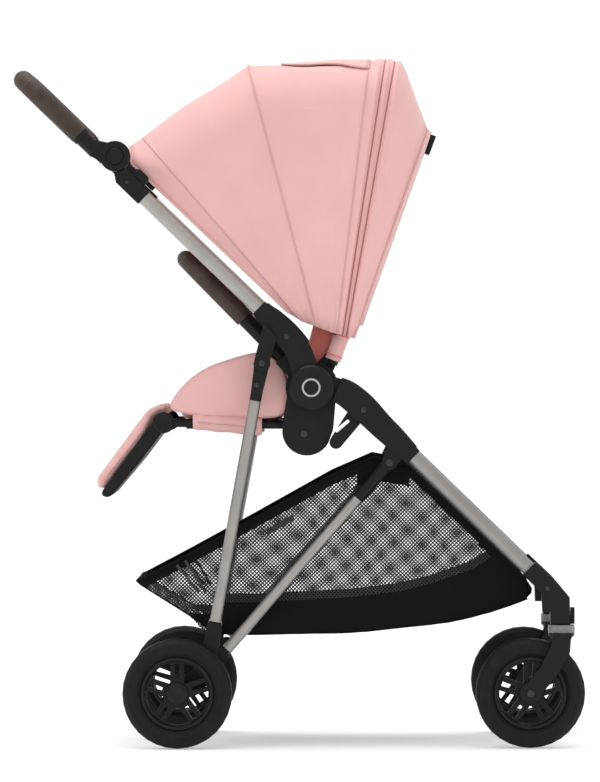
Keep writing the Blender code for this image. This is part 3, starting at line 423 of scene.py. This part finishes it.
def puff(made, voxel, cap, hold=(1.0, 1.0, 1.0)):
    """Pad filled by cloth simulation: the skin swells under pressure, no point moves over the cap.
    hold scales the motion along each axis, to keep an outline."""
    material = made.data.materials[0]
    remesh = made.modifiers.new("remesh", "REMESH")
    remesh.mode = "VOXEL"
    remesh.voxel_size = voxel
    apply_all(made)
    start = np.array([v.co for v in made.data.vertices])
    cloth = made.modifiers.new("cloth", "CLOTH")
    cloth.settings.use_pressure = True
    cloth.settings.uniform_pressure_force = PRESSURE
    cloth.settings.effector_weights.gravity = 0.0
    cloth.settings.quality = 4
    cloth.point_cache.frame_start = 1
    cloth.point_cache.frame_end = 20
    for step in range(1, 21):
        bpy.context.scene.frame_set(step)
    graph = bpy.context.evaluated_depsgraph_get()
    swollen = made.evaluated_get(graph).to_mesh()
    end = np.array([v.co for v in swollen.vertices])
    made.modifiers.clear()
    moved = end - start
    length = np.linalg.norm(moved, axis=1, keepdims=True)
    moved *= np.minimum(1.0, cap / np.maximum(length, 1e-9)) * np.array(hold)
    made.data.vertices.foreach_set("co", (start + moved).ravel())
    made.data.update()
    bpy.context.scene.frame_set(1)
    relax = made.modifiers.new("relax", "SMOOTH")
    relax.iterations = 3
    finer = made.modifiers.new("finer", "SUBSURF")
    finer.levels = finer.render_levels = 1
    apply_all(made)
    made.data.materials.clear()
    made.data.materials.append(material)
    made.data.shade_smooth()
    return made


def groove(made, axis, place, width, depth, inward):
    """Sewn channel: points near the plane axis = place are pulled along inward."""
    for vertex in made.data.vertices:
        away = (vertex.co[axis] - place) / width
        if abs(away) < 1:
            vertex.co += Vector(inward) * depth * (1 - away * away) ** 2
    made.data.update()


def seam(name, points, target, radius, material, closed=False):
    """Piping that lies on the surface of a pad."""
    laid = []
    for point in points:
        _, place, normal, _ = target.closest_point_on_mesh(Vector(point))
        laid.append(place + normal * radius * 0.35)
    return tube(name, laid, radius, material, 7, closed)


def soft(made, body, fill, *nodes):
    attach(made, body)
    if nodes:
        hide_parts(*nodes)
    return made


def back_point(up, forward=0.0):
    """(x, z) of a point up the backrest from the hub, and forward of its tube."""
    shift = 0.0155 - forward
    return (HUB[0] + up * math.cos(BACK) + shift * math.sin(BACK),
            HUB[1] + up * math.sin(BACK) - shift * math.cos(BACK))


# ------------------------------------------------------------------ canopy

def rib_row(bottom, shoulder, top, half, corner, crown):
    """One U across the canopy: up the side, round the corner, over the crowned top, and down."""
    bottom, shoulder, top = (np.array(p) for p in (bottom, shoulder, top))
    out = (top - bottom) / np.linalg.norm(top - bottom)
    rise = top - out * crown
    row = []
    for i in range(12):
        x, z = bottom + (shoulder - bottom) * i / 12
        row.append((x, half, z))
    for i in range(9):
        turn = math.pi / 2 * i / 9
        x, z = shoulder + (rise - shoulder) * math.sin(turn)
        row.append((x, half - corner * (1 - math.cos(turn)), z))
    flat = half - corner
    for i in range(7):
        y = flat * (1 - i / 6)
        x, z = rise + out * crown * (1 - (y / flat) ** 2)
        row.append((x, y, z))
    return np.array(row + [(x, -y, z) for x, y, z in row[-2::-1]])


def station(bottom, top, half=BETWEEN_Y, corner=0.082, shoulder=None, crown=0.007):
    reach = math.hypot(top[0] - bottom[0], top[1] - bottom[1])
    if shoulder is None:
        share = 1 - corner / reach
        shoulder = (bottom[0] + (top[0] - bottom[0]) * share, bottom[1] + (top[1] - bottom[1]) * share)
    return rib_row(bottom, shoulder, top, half, corner, crown)


def canopy_rows():
    """Cross rows from the front hem to the back edge, with the number of steps to the next and its sag."""
    plan = [
        (station((-0.0150, 0.6535), (-0.2602, 0.9080), 0.1815, 0.070, (-0.2515, 0.8775), 0.006), 3, 0.0),
        (station((0.0040, 0.6410), (-0.2400, 0.9225)), 7, -0.001),
        (station((0.0150, 0.6370), (-0.1660, 0.9770)), 7, 0.001),
        (station((0.0266, 0.6330), (-0.0785, 1.0325), RIB_Y), 9, 0.0020),
        (station((0.0500, 0.6240), (0.0600, 1.0378)), 5, 0.001),
        (station((0.0575, 0.6225), (0.1064, 1.0395), RIB_Y), 3, 0.001),
        (station((0.0640, 0.6205), (0.1240, 1.0440), RIB_Y), 2, 0.0),
        (station((0.0660, 0.6200), (0.1310, 1.0410), VALLEY_Y), 2, 0.0),
        (station((0.0690, 0.6190), (0.1380, 1.0430), RIB_Y), 2, 0.0),
        (station((0.0715, 0.6180), (0.1455, 1.0385), VALLEY_Y), 2, 0.0),
        (station((0.0740, 0.6175), (0.1540, 1.0400), RIB_Y), 2, 0.0),
        (station((0.0775, 0.6165), (0.1625, 1.0250), 0.1825), 5, 0.001),
        (station((0.0833, 0.6156), (0.1965, 0.9330), 0.1780, 0.070), 0, 0.0),
    ]
    rows, seams = [], []
    for (row, steps, sag), (following, _, _) in zip(plan, plan[1:]):
        seams.append(len(rows))
        for k in range(steps):
            t = k / steps
            mixed = row * (1 - t) + following * t
            dip = 4 * t * (1 - t)
            for i, (x, y, z) in enumerate(mixed):
                inward = Vector((PIVOT[0] - x, 0, PIVOT[1] - z))
                share = min(1.0, inward.length / 0.35)
                on_side = min(1.0, max(0.0, (abs(y) - 0.10) / 0.06))
                pull = inward.normalized() * sag * dip * (1 - on_side) if inward.length > 0 else Vector()
                mixed[i] += np.array(pull)
                mixed[i][1] -= math.copysign(1, y) * on_side * dip * share * 0.0022
            rows.append(mixed)
    seams.append(len(rows))
    rows.append(plan[-1][0])
    return np.array(rows), seams


def wrinkled(rows):
    """Soft creases that run down from the top and gather at the lower corners."""
    out = rows.copy()
    count = rows.shape[1]
    for i in range(rows.shape[0]):
        for k in range(count):
            x, y, z = rows[i][k]
            low = max(0.0, 1 - math.hypot(x - PIVOT[0], z - PIVOT[1]) / 0.20)
            side = 1.0 if abs(y) > 0.16 else 0.35
            wave = noise.noise(Vector((x * 22, y * 4, z * 9)))
            gather = noise.noise(Vector((math.atan2(z - 0.60, x - 0.06) * 9, y, z * 6)))
            shift = side * (0.0012 * wave + 0.0036 * low * gather)
            out[i][k][1] += math.copysign(shift, y) if abs(y) > 0.1 else 0.0
            out[i][k][2] += 0.0012 * wave * (1 - side)
    return out


def sheet_object(name, rows, material, thickness, inner=None):
    work = bmesh.new()
    grid = [[work.verts.new(tuple(p)) for p in row] for row in rows]
    for first, second in zip(grid, grid[1:]):
        for k in range(len(first) - 1):
            work.faces.new((first[k], first[k + 1], second[k + 1], second[k]))
    made = new_object(name, work, material, 60)
    normal = made.data.polygons[0].normal
    if normal.dot(made.data.polygons[0].center - Vector((PIVOT[0], 0, PIVOT[1]))) < 0:
        made.data.flip_normals()
    solid = made.modifiers.new("thick", "SOLIDIFY")
    solid.thickness = thickness
    solid.offset = -1.0
    if inner is not None:
        made.data.materials.append(inner)
        solid.material_offset = 1
    apply_all(made)
    return made


def build_canopy():
    rows, seams = canopy_rows()
    rows = wrinkled(rows)
    # The canopy's inner face takes the deep rose: painted shade inside the canopy.
    cover = sheet_object("canopy_fabric", rows, CANOPY_CLOTH, 0.0012, INNER_CLOTH_WITH_PAINTED_SHADE)
    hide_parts("canopy_cover", "canopy_rear_panel")
    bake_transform(cover)
    for number, (index, radius) in enumerate(((0, 0.0016), (seams[1], 0.0010), (seams[3], 0.0014),
                                              (seams[5], 0.0011), (-1, 0.0015),
                                              (seams[7], 0.0012), (seams[9], 0.0012))):
        line = rows[index]
        out = [p + np.array(Vector((p[0] - PIVOT[0], p[1], p[2] - PIVOT[1])).normalized()) * 0.0004
               for p in line]
        # The last two lines lie in the fold valleys and take the dark fold colour as painted shade.
        cloth = FOLD_PAINTED_SHADE if number > 4 else THREAD if index else CANOPY_CLOTH
        piping = tube(f"canopy_seam_and_fold_shade_{number}", out, radius, cloth, 7)
        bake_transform(piping)
    build_window(rows)
    build_back_panel(rows[-1])


def build_back_panel(row):
    """Cloth that closes the back between the two sides, gathered on the back edge."""
    middle = len(row) // 2
    left, right = row[:middle], row[::-1][:middle]
    grid = []
    for a, b in zip(left[1:], right[1:]):
        line = []
        for k in range(21):
            t = k / 20
            bulge = 0.006 * 4 * t * (1 - t)
            crease = 0.0012 * noise.noise(Vector((t * 5, a[2] * 7, 0.4)))
            line.append(tuple(a * (1 - t) + b * t + np.array((bulge + crease, 0.0, -0.3 * bulge))))
        grid.append(line)
    # Its inner face is deep rose, painted shade inside the canopy.
    panel = sheet_object("canopy_back_panel", np.array(grid), CANOPY_CLOTH, 0.0012, INNER_CLOTH_WITH_PAINTED_SHADE)
    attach(panel, "backrest")


def build_window(rows):
    """Flap over the top vent: it lies on the canopy, narrow in front and down round the corners behind."""
    middle = rows.shape[1] // 2
    crest = rows[:, middle, 0]
    patch = []
    for i in range(17):
        t = i / 16
        x = -0.026 + 0.132 * t
        at = float(np.interp(x, crest, np.arange(len(crest))))
        low, share = int(at), at - int(at)
        section = rows[low] * (1 - share) + rows[min(low + 1, len(rows) - 1)] * share
        reach = np.concatenate(([0.0], np.cumsum(np.linalg.norm(np.diff(section, axis=0), axis=1))))
        reach -= reach[middle]
        half = 0.146 * (0.50 + 0.50 * t ** 0.8) * min(1.0, 0.80 + 2.0 * t)
        line = []
        for k in range(25):
            spot = np.array([np.interp(half * (k / 12 - 1), reach, section[:, c]) for c in range(3)])
            out = spot - np.array((PIVOT[0], 0.0, PIVOT[1] + 0.25))
            line.append(tuple(spot + out / np.linalg.norm(out) * (0.0030 + 0.0016 * math.sin(math.pi * t))))
        patch.append(line)
    flap = sheet_object("canopy_window_flap", np.array(patch), CANOPY_CLOTH, 0.0018)
    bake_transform(flap)
    edge = patch[0] + [row[-1] for row in patch[1:-1]] + patch[-1][::-1] + [row[0] for row in patch[-2:0:-1]]
    # The binding's darker pink is partly painted shade of the gap under the flap's edge.
    bound = tube("canopy_window_binding", edge, 0.0011, THREAD, 7, True)
    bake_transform(bound)


# ------------------------------------------------------------------ seat

WING = [(-0.1905, 0.5060), (-0.1935, 0.5150), (-0.1790, 0.5370), (-0.1600, 0.5560), (-0.1350, 0.5720),
        (-0.1050, 0.5830), (-0.0760, 0.5910), (-0.0540, 0.5920), (-0.0350, 0.5830), (-0.0210, 0.5630),
        (-0.0150, 0.5350), (-0.0165, 0.5130), (-0.0260, 0.5000), (-0.0600, 0.4955), (-0.1200, 0.4965),
        (-0.1650, 0.5010)]


def build_seat():
    core = [(-0.1800, 0.4940), (-0.0220, 0.4940), (-0.0200, 0.5210), (-0.0420, 0.5290), (-0.1480, 0.5350),
            (-0.1740, 0.5300), (-0.1850, 0.5150)]
    pad = puff(prism("seat_pad", core, -0.1400, 0.1400, PAD_CLOTH), 0.0055, 0.008)
    for place in (-0.135, -0.090):
        groove(pad, 0, place, 0.006, 0.004, (0, 0, -1))
    groove(pad, 1, 0.0, 0.005, 0.002, (0, 0, -1))
    soft(pad, "seat", 0.6, "seat_cushion")
    outline = smooth_line(WING, 4)
    for label, side in SIDES:
        faces = sorted(side * y for y in WING_Y)
        wing = puff(prism(f"seat_wing_{label}", outline, faces[0], faces[1], PAD_CLOTH), 0.0045, 0.005,
                    hold=(0.15, 1.0, 0.15))
        soft(wing, "seat", 0.7, "seat_cushion")
        line = seam(f"seat_wing_seam_{label}", [(x, side * 0.1600, z) for x, z in outline[::2]], wing,
                    0.0012, PAD_CLOTH, True)
        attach(line, "seat")
        build_wrap(label, side)


def build_wrap(label, side):
    """Fabric sleeve that wraps the seat rail below the wing."""
    spots = [(-0.1600, 0.4925), (-0.1350, 0.4905), (-0.1050, 0.4880), (-0.0750, 0.4850), (-0.0560, 0.4830)]
    rings = smooth_line(spots, 5)
    work = bmesh.new()
    loops = []
    for i, (x, z) in enumerate(rings):
        t = i / (len(rings) - 1)
        swell = 1 - 0.16 * (2 * t - 1) ** 6 + 0.04 * math.sin(t * 22)
        loop = []
        for k in range(20):
            turn = 2 * math.pi * k / 20
            loop.append(work.verts.new((x, side * 0.1585 + 0.0150 * swell * math.cos(turn),
                                        z + 0.0150 * swell * math.sin(turn))))
        loops.append(loop)
    for first, second in zip(loops, loops[1:]):
        for k in range(20):
            n = (k + 1) % 20
            work.faces.new((first[k], first[n], second[n], second[k]))
    work.faces.new(loops[0])
    work.faces.new(loops[-1])
    sleeve = new_object(f"seat_rail_sleeve_{label}", work, PAD_CLOTH)
    soft(sleeve, "seat", 0.5)
    under = tube(f"seat_rail_seam_{label}", [(x, side * 0.1740, z - 0.004) for x, z in rings[2:-2]], 0.0008,
                 THREAD, 6)
    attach(under, "seat")


def build_backrest():
    core = [back_point(0.0520, -0.0020), back_point(0.3420, -0.0020), back_point(0.3480, 0.0080),
            back_point(0.3400, 0.0200), back_point(0.0580, 0.0200), back_point(0.0480, 0.0090)]
    # Cushion, flanks and hem bands are deep rose, partly painted shade behind the canopy.
    pad = puff(prism("backrest_cushion", core, -0.1300, 0.1300, INNER_CLOTH_WITH_PAINTED_SHADE), 0.0060, 0.007)
    forward = (-math.sin(BACK), 0, math.cos(BACK))
    for y in (-0.062, 0.062):
        groove(pad, 1, y, 0.006, 0.003, tuple(-v for v in forward))
    soft(pad, "backrest", 0.6, "backrest_pad")
    for label, side in SIDES:
        faces = sorted((side * 0.1270, side * 0.1430))
        flank = [back_point(0.0330, 0.0050), back_point(0.2300, 0.0050), back_point(0.2300, 0.0300),
                 back_point(0.1500, 0.0420), back_point(0.0900, 0.0480), back_point(0.0500, 0.0440),
                 back_point(0.0360, 0.0300)]
        wing = puff(prism(f"backrest_flank_{label}", flank, faces[0], faces[1], INNER_CLOTH_WITH_PAINTED_SHADE), 0.0045, 0.005)
        soft(wing, "backrest", 0.6)
        line = [back_point(up) for up in (0.0500, 0.0640, 0.0780, 0.0900)]
        sleeve = tube(f"back_tube_sleeve_{label}",
                      [(x, side * BACK_TUBE_Y, z) for x, z in line], 0.0118, PAD_CLOTH, 20)
        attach(sleeve, "backrest")
        for number, up in enumerate((0.0560, 0.0880)):
            x, z = back_point(up)
            x2, z2 = back_point(up + 0.0025)
            band = tube(f"back_sleeve_hem_{label}_{number}",
                        [(x, side * BACK_TUBE_Y, z), (x2, side * BACK_TUBE_Y, z2)], 0.0124, INNER_CLOTH_WITH_PAINTED_SHADE, 20)
            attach(band, "backrest")


def build_leg_rest():
    core = [(-0.1960, 0.5165), (-0.2120, 0.5130), (-0.2250, 0.5050), (-0.2350, 0.4915), (-0.3060, 0.3960),
            (-0.3060, 0.3860), (-0.2985, 0.3835), (-0.2330, 0.4745), (-0.2262, 0.4890), (-0.2180, 0.5005),
            (-0.2070, 0.5062), (-0.1960, 0.5070)]
    pad = puff(prism("leg_rest_pad", core, -0.1420, 0.1420, PAD_CLOTH), 0.0045, 0.005)
    along = np.array((-0.616, -0.788))
    out = Vector((-0.788, 0, 0.616))
    for y in (-0.075, 0.075):
        groove(pad, 1, y, 0.006, 0.0025, tuple(-out))
    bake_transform(pad)
    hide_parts("leg_rest")
    shell = prism("leg_rest_shell", [(-0.2280, 0.4820), (-0.2980, 0.3845), (-0.2985, 0.3785),
                                     (-0.2925, 0.3748), (-0.2845, 0.3765), (-0.2389, 0.4310),
                                     (-0.2085, 0.4715), (-0.2050, 0.4760), (-0.2120, 0.4880)],
                  -0.1465, 0.1465, SOFT_BLACK, 0.003)
    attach(shell, "leg_rest")
    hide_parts("leg_rest")
    for label, side in SIDES:
        cap = turned(f"leg_rest_cap_{label}", [(0, side * 0.1490), (0.0158, side * 0.1490),
                                               (0.0158, side * 0.1640), (0.0130, side * 0.1660),
                                               (0.0105, side * 0.1650), (0, side * 0.1650)],
                     (KNEE[0], 0, KNEE[1]), BLACK)
        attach(cap, "seat")
        start = Vector((-0.2300, side * 0.150, 0.4830))
        line = [tuple(start + Vector((along[0], 0, along[1])) * 0.012 * i) for i in range(1, 9)]
        stitch = seam(f"leg_rest_seam_{label}", line, pad, 0.0009, THREAD)
        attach(stitch, "leg_rest")


# ------------------------------------------------------------------ basket

TOP_EDGE = [(-0.2400, 0.2500), (-0.1700, 0.2870), (-0.0700, 0.3420), (0.0497, 0.4090), (0.1115, 0.4360),
            (0.1620, 0.4260), (0.2300, 0.3610), (0.3430, 0.2520)]
BOTTOM_EDGE = [(-0.2400, 0.2430), (-0.1661, 0.1965), (-0.1275, 0.1690), (0.0018, 0.1688), (0.1015, 0.1722),
               (0.2262, 0.1862), (0.2884, 0.2013), (0.3400, 0.2193), (0.3430, 0.2230)]
BAND_EDGE = [(-0.2400, 0.2452), (-0.1661, 0.2005), (-0.1300, 0.2000), (-0.1180, 0.2169), (-0.0639, 0.2175),
             (0.0770, 0.2250), (0.1514, 0.2340), (0.1972, 0.2451), (0.2599, 0.2668), (0.2971, 0.2890),
             (0.3430, 0.2515)]


def edge_height(edge, x):
    xs, zs = zip(*edge)
    return float(np.interp(x, xs, zs))


def basket_column(x, side):
    """Points of one side panel from the bottom to the top at x."""
    bottom = edge_height(BOTTOM_EDGE, x)
    top = max(edge_height(TOP_EDGE, x), bottom + 0.004)
    band = min(max(edge_height(BAND_EDGE, x), bottom + 0.0015), top - 0.002)
    hem = max(top - 0.0150, band + 0.001)
    heights = list(np.linspace(bottom, band, 5)) + list(np.linspace(band, hem, 11)[1:])
    heights += list(np.linspace(hem, top, 4)[1:])
    column = []
    for z in heights:
        up = (z - bottom) / max(top - bottom, 1e-6)
        slack = 0.0055 * math.sin(math.pi * min(1, up)) * min(1.0, (top - bottom) / 0.1)
        fold = 0.0010 * noise.noise(Vector((x * 18, side, z * 12)))
        tuck = 0.010 * max(0.0, 1 - (z - bottom) / 0.022) ** 2
        column.append((x, side * (BASKET_Y - slack - tuck + fold), z))
    return column


def build_basket():
    xs = sorted(set(list(np.linspace(-0.240, 0.343, 90)) + [-0.1275, -0.118, 0.1115]))
    for label, side in SIDES:
        columns = [basket_column(x, side) for x in xs]
        panel = sheet_object(f"basket_side_{label}", np.array(columns), NET_SIDE[side], 0.0010)
        panel.data.materials.append(BLACK_CLOTH)
        for face in panel.data.polygons:
            x, _, z = face.center
            top, band = edge_height(TOP_EDGE, x), edge_height(BAND_EDGE, x)
            front = top - 0.0165
            patch = x > 0.072 and z > edge_height([(0.072, 0.404), (0.121, 0.392), (0.141, 0.391),
                                                   (0.176, 0.404), (0.330, 0.404)], x)
            solid = z < band or z > top - 0.0150 or (x > 0.15 and z > front) or patch
            face.material_index = 1 if solid else 0
        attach(panel, "front_frame")
        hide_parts("basket")
        rim = [(x, side * BASKET_Y, edge_height(TOP_EDGE, x)) for x in xs]
        cord = tube(f"basket_rim_{label}", rim, 0.0024, BLACK_CLOTH, 8)
        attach(cord, "front_frame")
        for number, shift in enumerate((0.0, 0.012)):
            strap_line = [(-0.1840 + shift, side * 0.1742, 0.2740 + shift * 0.55),
                          (-0.1680 + shift, side * 0.1738, 0.2540 + shift * 0.30),
                          (-0.1520 + shift, side * 0.1728, 0.2330 - shift * 0.20)]
            strap = tube(f"basket_strap_{label}_{number}", smooth_line(strap_line, 4), 0.0022, WEB, 8)
            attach(strap, "front_frame")
    build_basket_floor()


def build_basket_floor():
    """Rear net slope, black floor and front panel as one hanging sheet between the sides."""
    path = [(-0.2400, 0.2500)] + BOTTOM_EDGE + [(0.3425, 0.2500), (0.2300, 0.3590), (0.1620, 0.4240)]
    line = smooth_line(path, 4)
    rows = []
    for i, (x, z) in enumerate(line):
        t = i / (len(line) - 1)
        row = []
        for k in range(21):
            y = 0.1630 * (k / 10 - 1)
            across = 1 - (y / 0.163) ** 2
            ripple = 0.0012 * noise.noise(Vector((x * 14, y * 14, 3.1)))
            slack = 0.006 * across * math.sin(math.pi * t)
            row.append((x, y, z + 0.0015 + ripple - slack * (0.15 if z < 0.20 else 0.8)))
        rows.append(row)
    floor_sheet = sheet_object("basket_floor", np.array(rows), NET_REAR, 0.0010)
    floor_sheet.data.materials.append(BLACK_CLOTH)
    for face in floor_sheet.data.polygons:
        x, _, z = face.center
        face.material_index = 0 if x < -0.128 and z < 0.2440 else 1
    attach(floor_sheet, "front_frame")
    hem = tube("basket_rear_hem", [(-0.2400, y, 0.2500 - 0.003 * (1 - (y / 0.17) ** 2))
                                   for y in np.linspace(-0.172, 0.172, 25)], 0.0026, BLACK_CLOTH, 8)
    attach(hem, "front_frame")
    tag = prism("basket_tag", [(-0.0500, 0.3270), (-0.0100, 0.3500), (-0.0060, 0.3420), (-0.0460, 0.3190)],
                -BASKET_Y, -BASKET_Y + 0.0010, TAG, 0.0003)
    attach(tag, "front_frame")


# ------------------------------------------------------------------ hard trim

def dome(name, x, z, face_y, side, radius, body, material=DARK_STEEL):
    """Bolt or rivet head with a shallow recess, standing on a face."""
    profile = [(radius, 0.0), (radius, 0.0008), (radius * 0.82, 0.0019), (radius * 0.50, 0.0021),
               (radius * 0.42, 0.0012), (0, 0.0012)]
    profile = [(r, side * h) for r, h in profile]
    made = turned(name, [(0, 0.0)] + profile, (x, side * face_y, z), material, "Y", 24)
    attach(made, body)
    return made


# Bolt and rivet heads on each side: name, x, z, y of the face, radius and body.
HEADS = (
    ("handle_arm_bolt", -0.0191, 0.6185, ARM_FACE_Y, 0.0045, "handle_frame"),
    ("front_arm_bolt", 0.0974, 0.5077, ARM_FACE_Y, 0.0045, "front_frame"),
    ("seat_bolt", 0.0077, 0.4718, 0.1780, 0.0060, "seat"),
    ("leg_rivet", -0.0632, 0.5450, 0.2138, 0.0038, "rear_leg"),
    ("leg_pivot", *LEG_TOP, 0.2195, 0.0050, "handle_frame"),
    ("strut_pivot", 0.1362, 0.4287, 0.2075, 0.0055, "front_frame"),
    ("caster_rivet", 0.3735, 0.2400, 0.2145, 0.0038, "front_frame"),
    ("fitting_rivet", -0.2580, 0.8500, ARM_FACE_Y, 0.0034, "handle_frame"),
    ("foot_pivot", *FOOT, 0.2068, 0.0050, "rear_leg"),
)


def build_trim():
    for label, side in SIDES:
        for name, x, z, face, radius, body in HEADS:
            dome(f"{name}_{label}", x, z, face, side, radius, body)
        dome(f"axle_bolt_{label}", *FRONT_WHEEL, 0.2260, side, 0.0058, f"caster_{label}")
        build_foot_cover(label, side)
        build_hub_trim(label, side)
        for end, (x, z), y in (("rear", REAR_WHEEL, REAR_WHEEL_Y), ("front", FRONT_WHEEL, FRONT_WHEEL_Y)):
            build_wheel_trim(f"{end}_{label}", (x, side * y, z), side, f"{end}_wheel_{label}")
        ring = turned(f"caster_ring_{label}", [(0.0190, 0.1732), (0.0200, 0.1732), (0.0202, 0.1785),
                                               (0.0200, 0.1848), (0.0190, 0.1848)],
                      (CASTER_X, side * FRONT_WHEEL_Y, 0), GREY_CLEAR, "Z", 40)
        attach(ring, f"caster_{label}")


def build_foot_cover(label, side):
    """Black shoe over the rear leg's flat foot."""
    foot = Vector(FOOT)
    up = (Vector(LEG_TOP) - foot).normalized()
    across = Vector((up.y, -up.x))
    outline = [foot - up * 0.0125 * math.cos(a) + across * 0.0125 * math.sin(a)
               for a in (math.radians(d) for d in range(-90, 91, 15))]
    outline += [foot + up * 0.074 + across * 0.0112, foot + up * 0.080 + across * 0.0098,
                foot + up * 0.080 - across * 0.0098, foot + up * 0.074 - across * 0.0112]
    faces = sorted((side * 0.1963, side * 0.2071))
    shoe = prism(f"foot_shoe_{label}", [tuple(p) for p in outline], faces[0], faces[1], BLACK, 0.0008)
    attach(shoe, "rear_leg")


def build_hub_trim(label, side):
    """Plain bright ring on the fold joint's cover."""
    face = side * HUB_FACE_Y
    ring_profile = [(0.0112, 0.0), (0.0112, 0.0008), (0.0140, 0.0008), (0.0140, 0.0)]
    ring = turned(f"hub_ring_{label}", [(r, side * h) for r, h in ring_profile], (HUB[0], face, HUB[1]),
                  STEEL, "Y", 48)
    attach(ring, "front_frame")


def build_wheel_trim(label, centre, side, body):
    """Hub cap, and on both faces the rim's lip and the moulded ring on the tyre's wall."""
    face = 0.0135
    cap = [(0.0, face + 0.0012), (0.0060, face + 0.0012), (0.0085, face + 0.0024), (0.0135, face + 0.0020),
           (0.0158, face + 0.0004), (0.0158, face - 0.0004)]
    cap = turned(f"wheel_cap_{label}", [(r, side * h) for r, h in cap] + [(0, side * (face - 0.0004))],
                 centre, GLOSS_BLACK, "Y", 36)
    for number, hand in enumerate((side, -side)):
        lip = turned(f"wheel_lip_{label}_{number}", [(r, hand * h) for r, h in (
            (0.0500, 0.0122), (0.0503, 0.0138), (0.0530, 0.0142), (0.0548, 0.0128), (0.0545, 0.0120))],
            centre, GLOSS_BLACK, "Y", 48)
        wall = turned(f"tyre_ring_{label}_{number}", [(r, hand * h) for r, h in (
            (0.0640, 0.0164), (0.0650, 0.0173), (0.0665, 0.0173), (0.0675, 0.0164))],
            centre, RUBBER, "Y", 48)
        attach(lip, body)
        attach(wall, body)
    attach(cap, body)


def build_grip_stitching():
    """Seam along the inner side of each leather grip, and the collar below it."""
    along = Vector((-math.cos(HANDLE), 0, -math.sin(HANDLE)))
    start = Vector((0.0406, 0, 0.5639))
    inner_y = HANDLE_Y - 0.0146
    for label, side in SIDES:
        inner = Vector((0, side * inner_y, 0))
        line = [tuple(start + along * (0.520 + 0.004 * i) + inner) for i in range(18)]
        stitch = tube(f"handle_grip_seam_{label}", line, 0.0008, DARK_THREAD, 6)
        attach(stitch, "handlebar")
        collar = tube(f"handle_grip_collar_{label}",
                      [tuple(start + along * s + Vector((0, side * HANDLE_Y, 0))) for s in (0.5085, 0.5148)],
                      0.0139, SOFT_BLACK, 28)
        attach(collar, "handlebar")


# ------------------------------------------------------------------ studio

def build_studio():
    """Pale floor, white surroundings, three soft lamps and the camera."""
    work = bmesh.new()
    bmesh.ops.create_circle(work, cap_ends=True, segments=96, radius=30.0)
    for vertex in work.verts:
        vertex.co.z = -0.0005
    n = Nodes("studio_paper")
    tone = n.ramp(n.noise(2.0, 2.0), [(0.3, (0.90, 0.90, 0.90)), (0.7, (0.92, 0.92, 0.92))])
    paper = n.feed(Base_Color=tone, Roughness=0.9, Specular_IOR_Level=0.1,
                   Emission_Color=(1.0, 1.0, 1.0, 1.0), Emission_Strength=0.22)
    new_object("studio_floor", work, paper)

    bpy.context.scene.view_settings.view_transform = "Standard"
    world = bpy.data.worlds.new("studio")
    world.use_nodes = True
    world.node_tree.nodes["Background"].inputs["Color"].default_value = (1.0, 1.0, 1.0, 1.0)
    world.node_tree.nodes["Background"].inputs["Strength"].default_value = 1.0
    bpy.context.scene.world = world

    for name, spot, size, power in (("key", (-2.2, -3.4, 3.8), 2.2, 16.0),
                                    ("fill", (3.4, -4.0, 1.6), 3.0, 2.0),
                                    ("top", (-0.4, 0.3, 3.6), 2.2, 48.0)):
        lamp = bpy.data.lights.new(name, "AREA")
        lamp.size = size
        lamp.energy = power
        made = bpy.data.objects.new(name, lamp)
        made.location = spot
        made.rotation_euler = (Vector((0, 0, 0.5)) - Vector(spot)).to_track_quat("-Z", "Y").to_euler()
        bpy.context.scene.collection.objects.link(made)

    camera_data = bpy.data.cameras.new("camera")
    camera_data.lens = 307.8
    camera_data.sensor_width = 36.0
    camera_data.clip_end = 60.0
    camera = bpy.data.objects.new("camera", camera_data)
    camera.location = (0.080, -10.25, 0.622)
    aim = Vector((0.0003, 0.0, 0.5346)) - camera.location
    camera.rotation_euler = aim.to_track_quat("-Z", "Y").to_euler()
    bpy.context.scene.collection.objects.link(camera)
    bpy.context.scene.camera = camera


build_studio()
build_canopy()
build_seat()
build_backrest()
build_leg_rest()
build_basket()
build_trim()
build_grip_stitching()
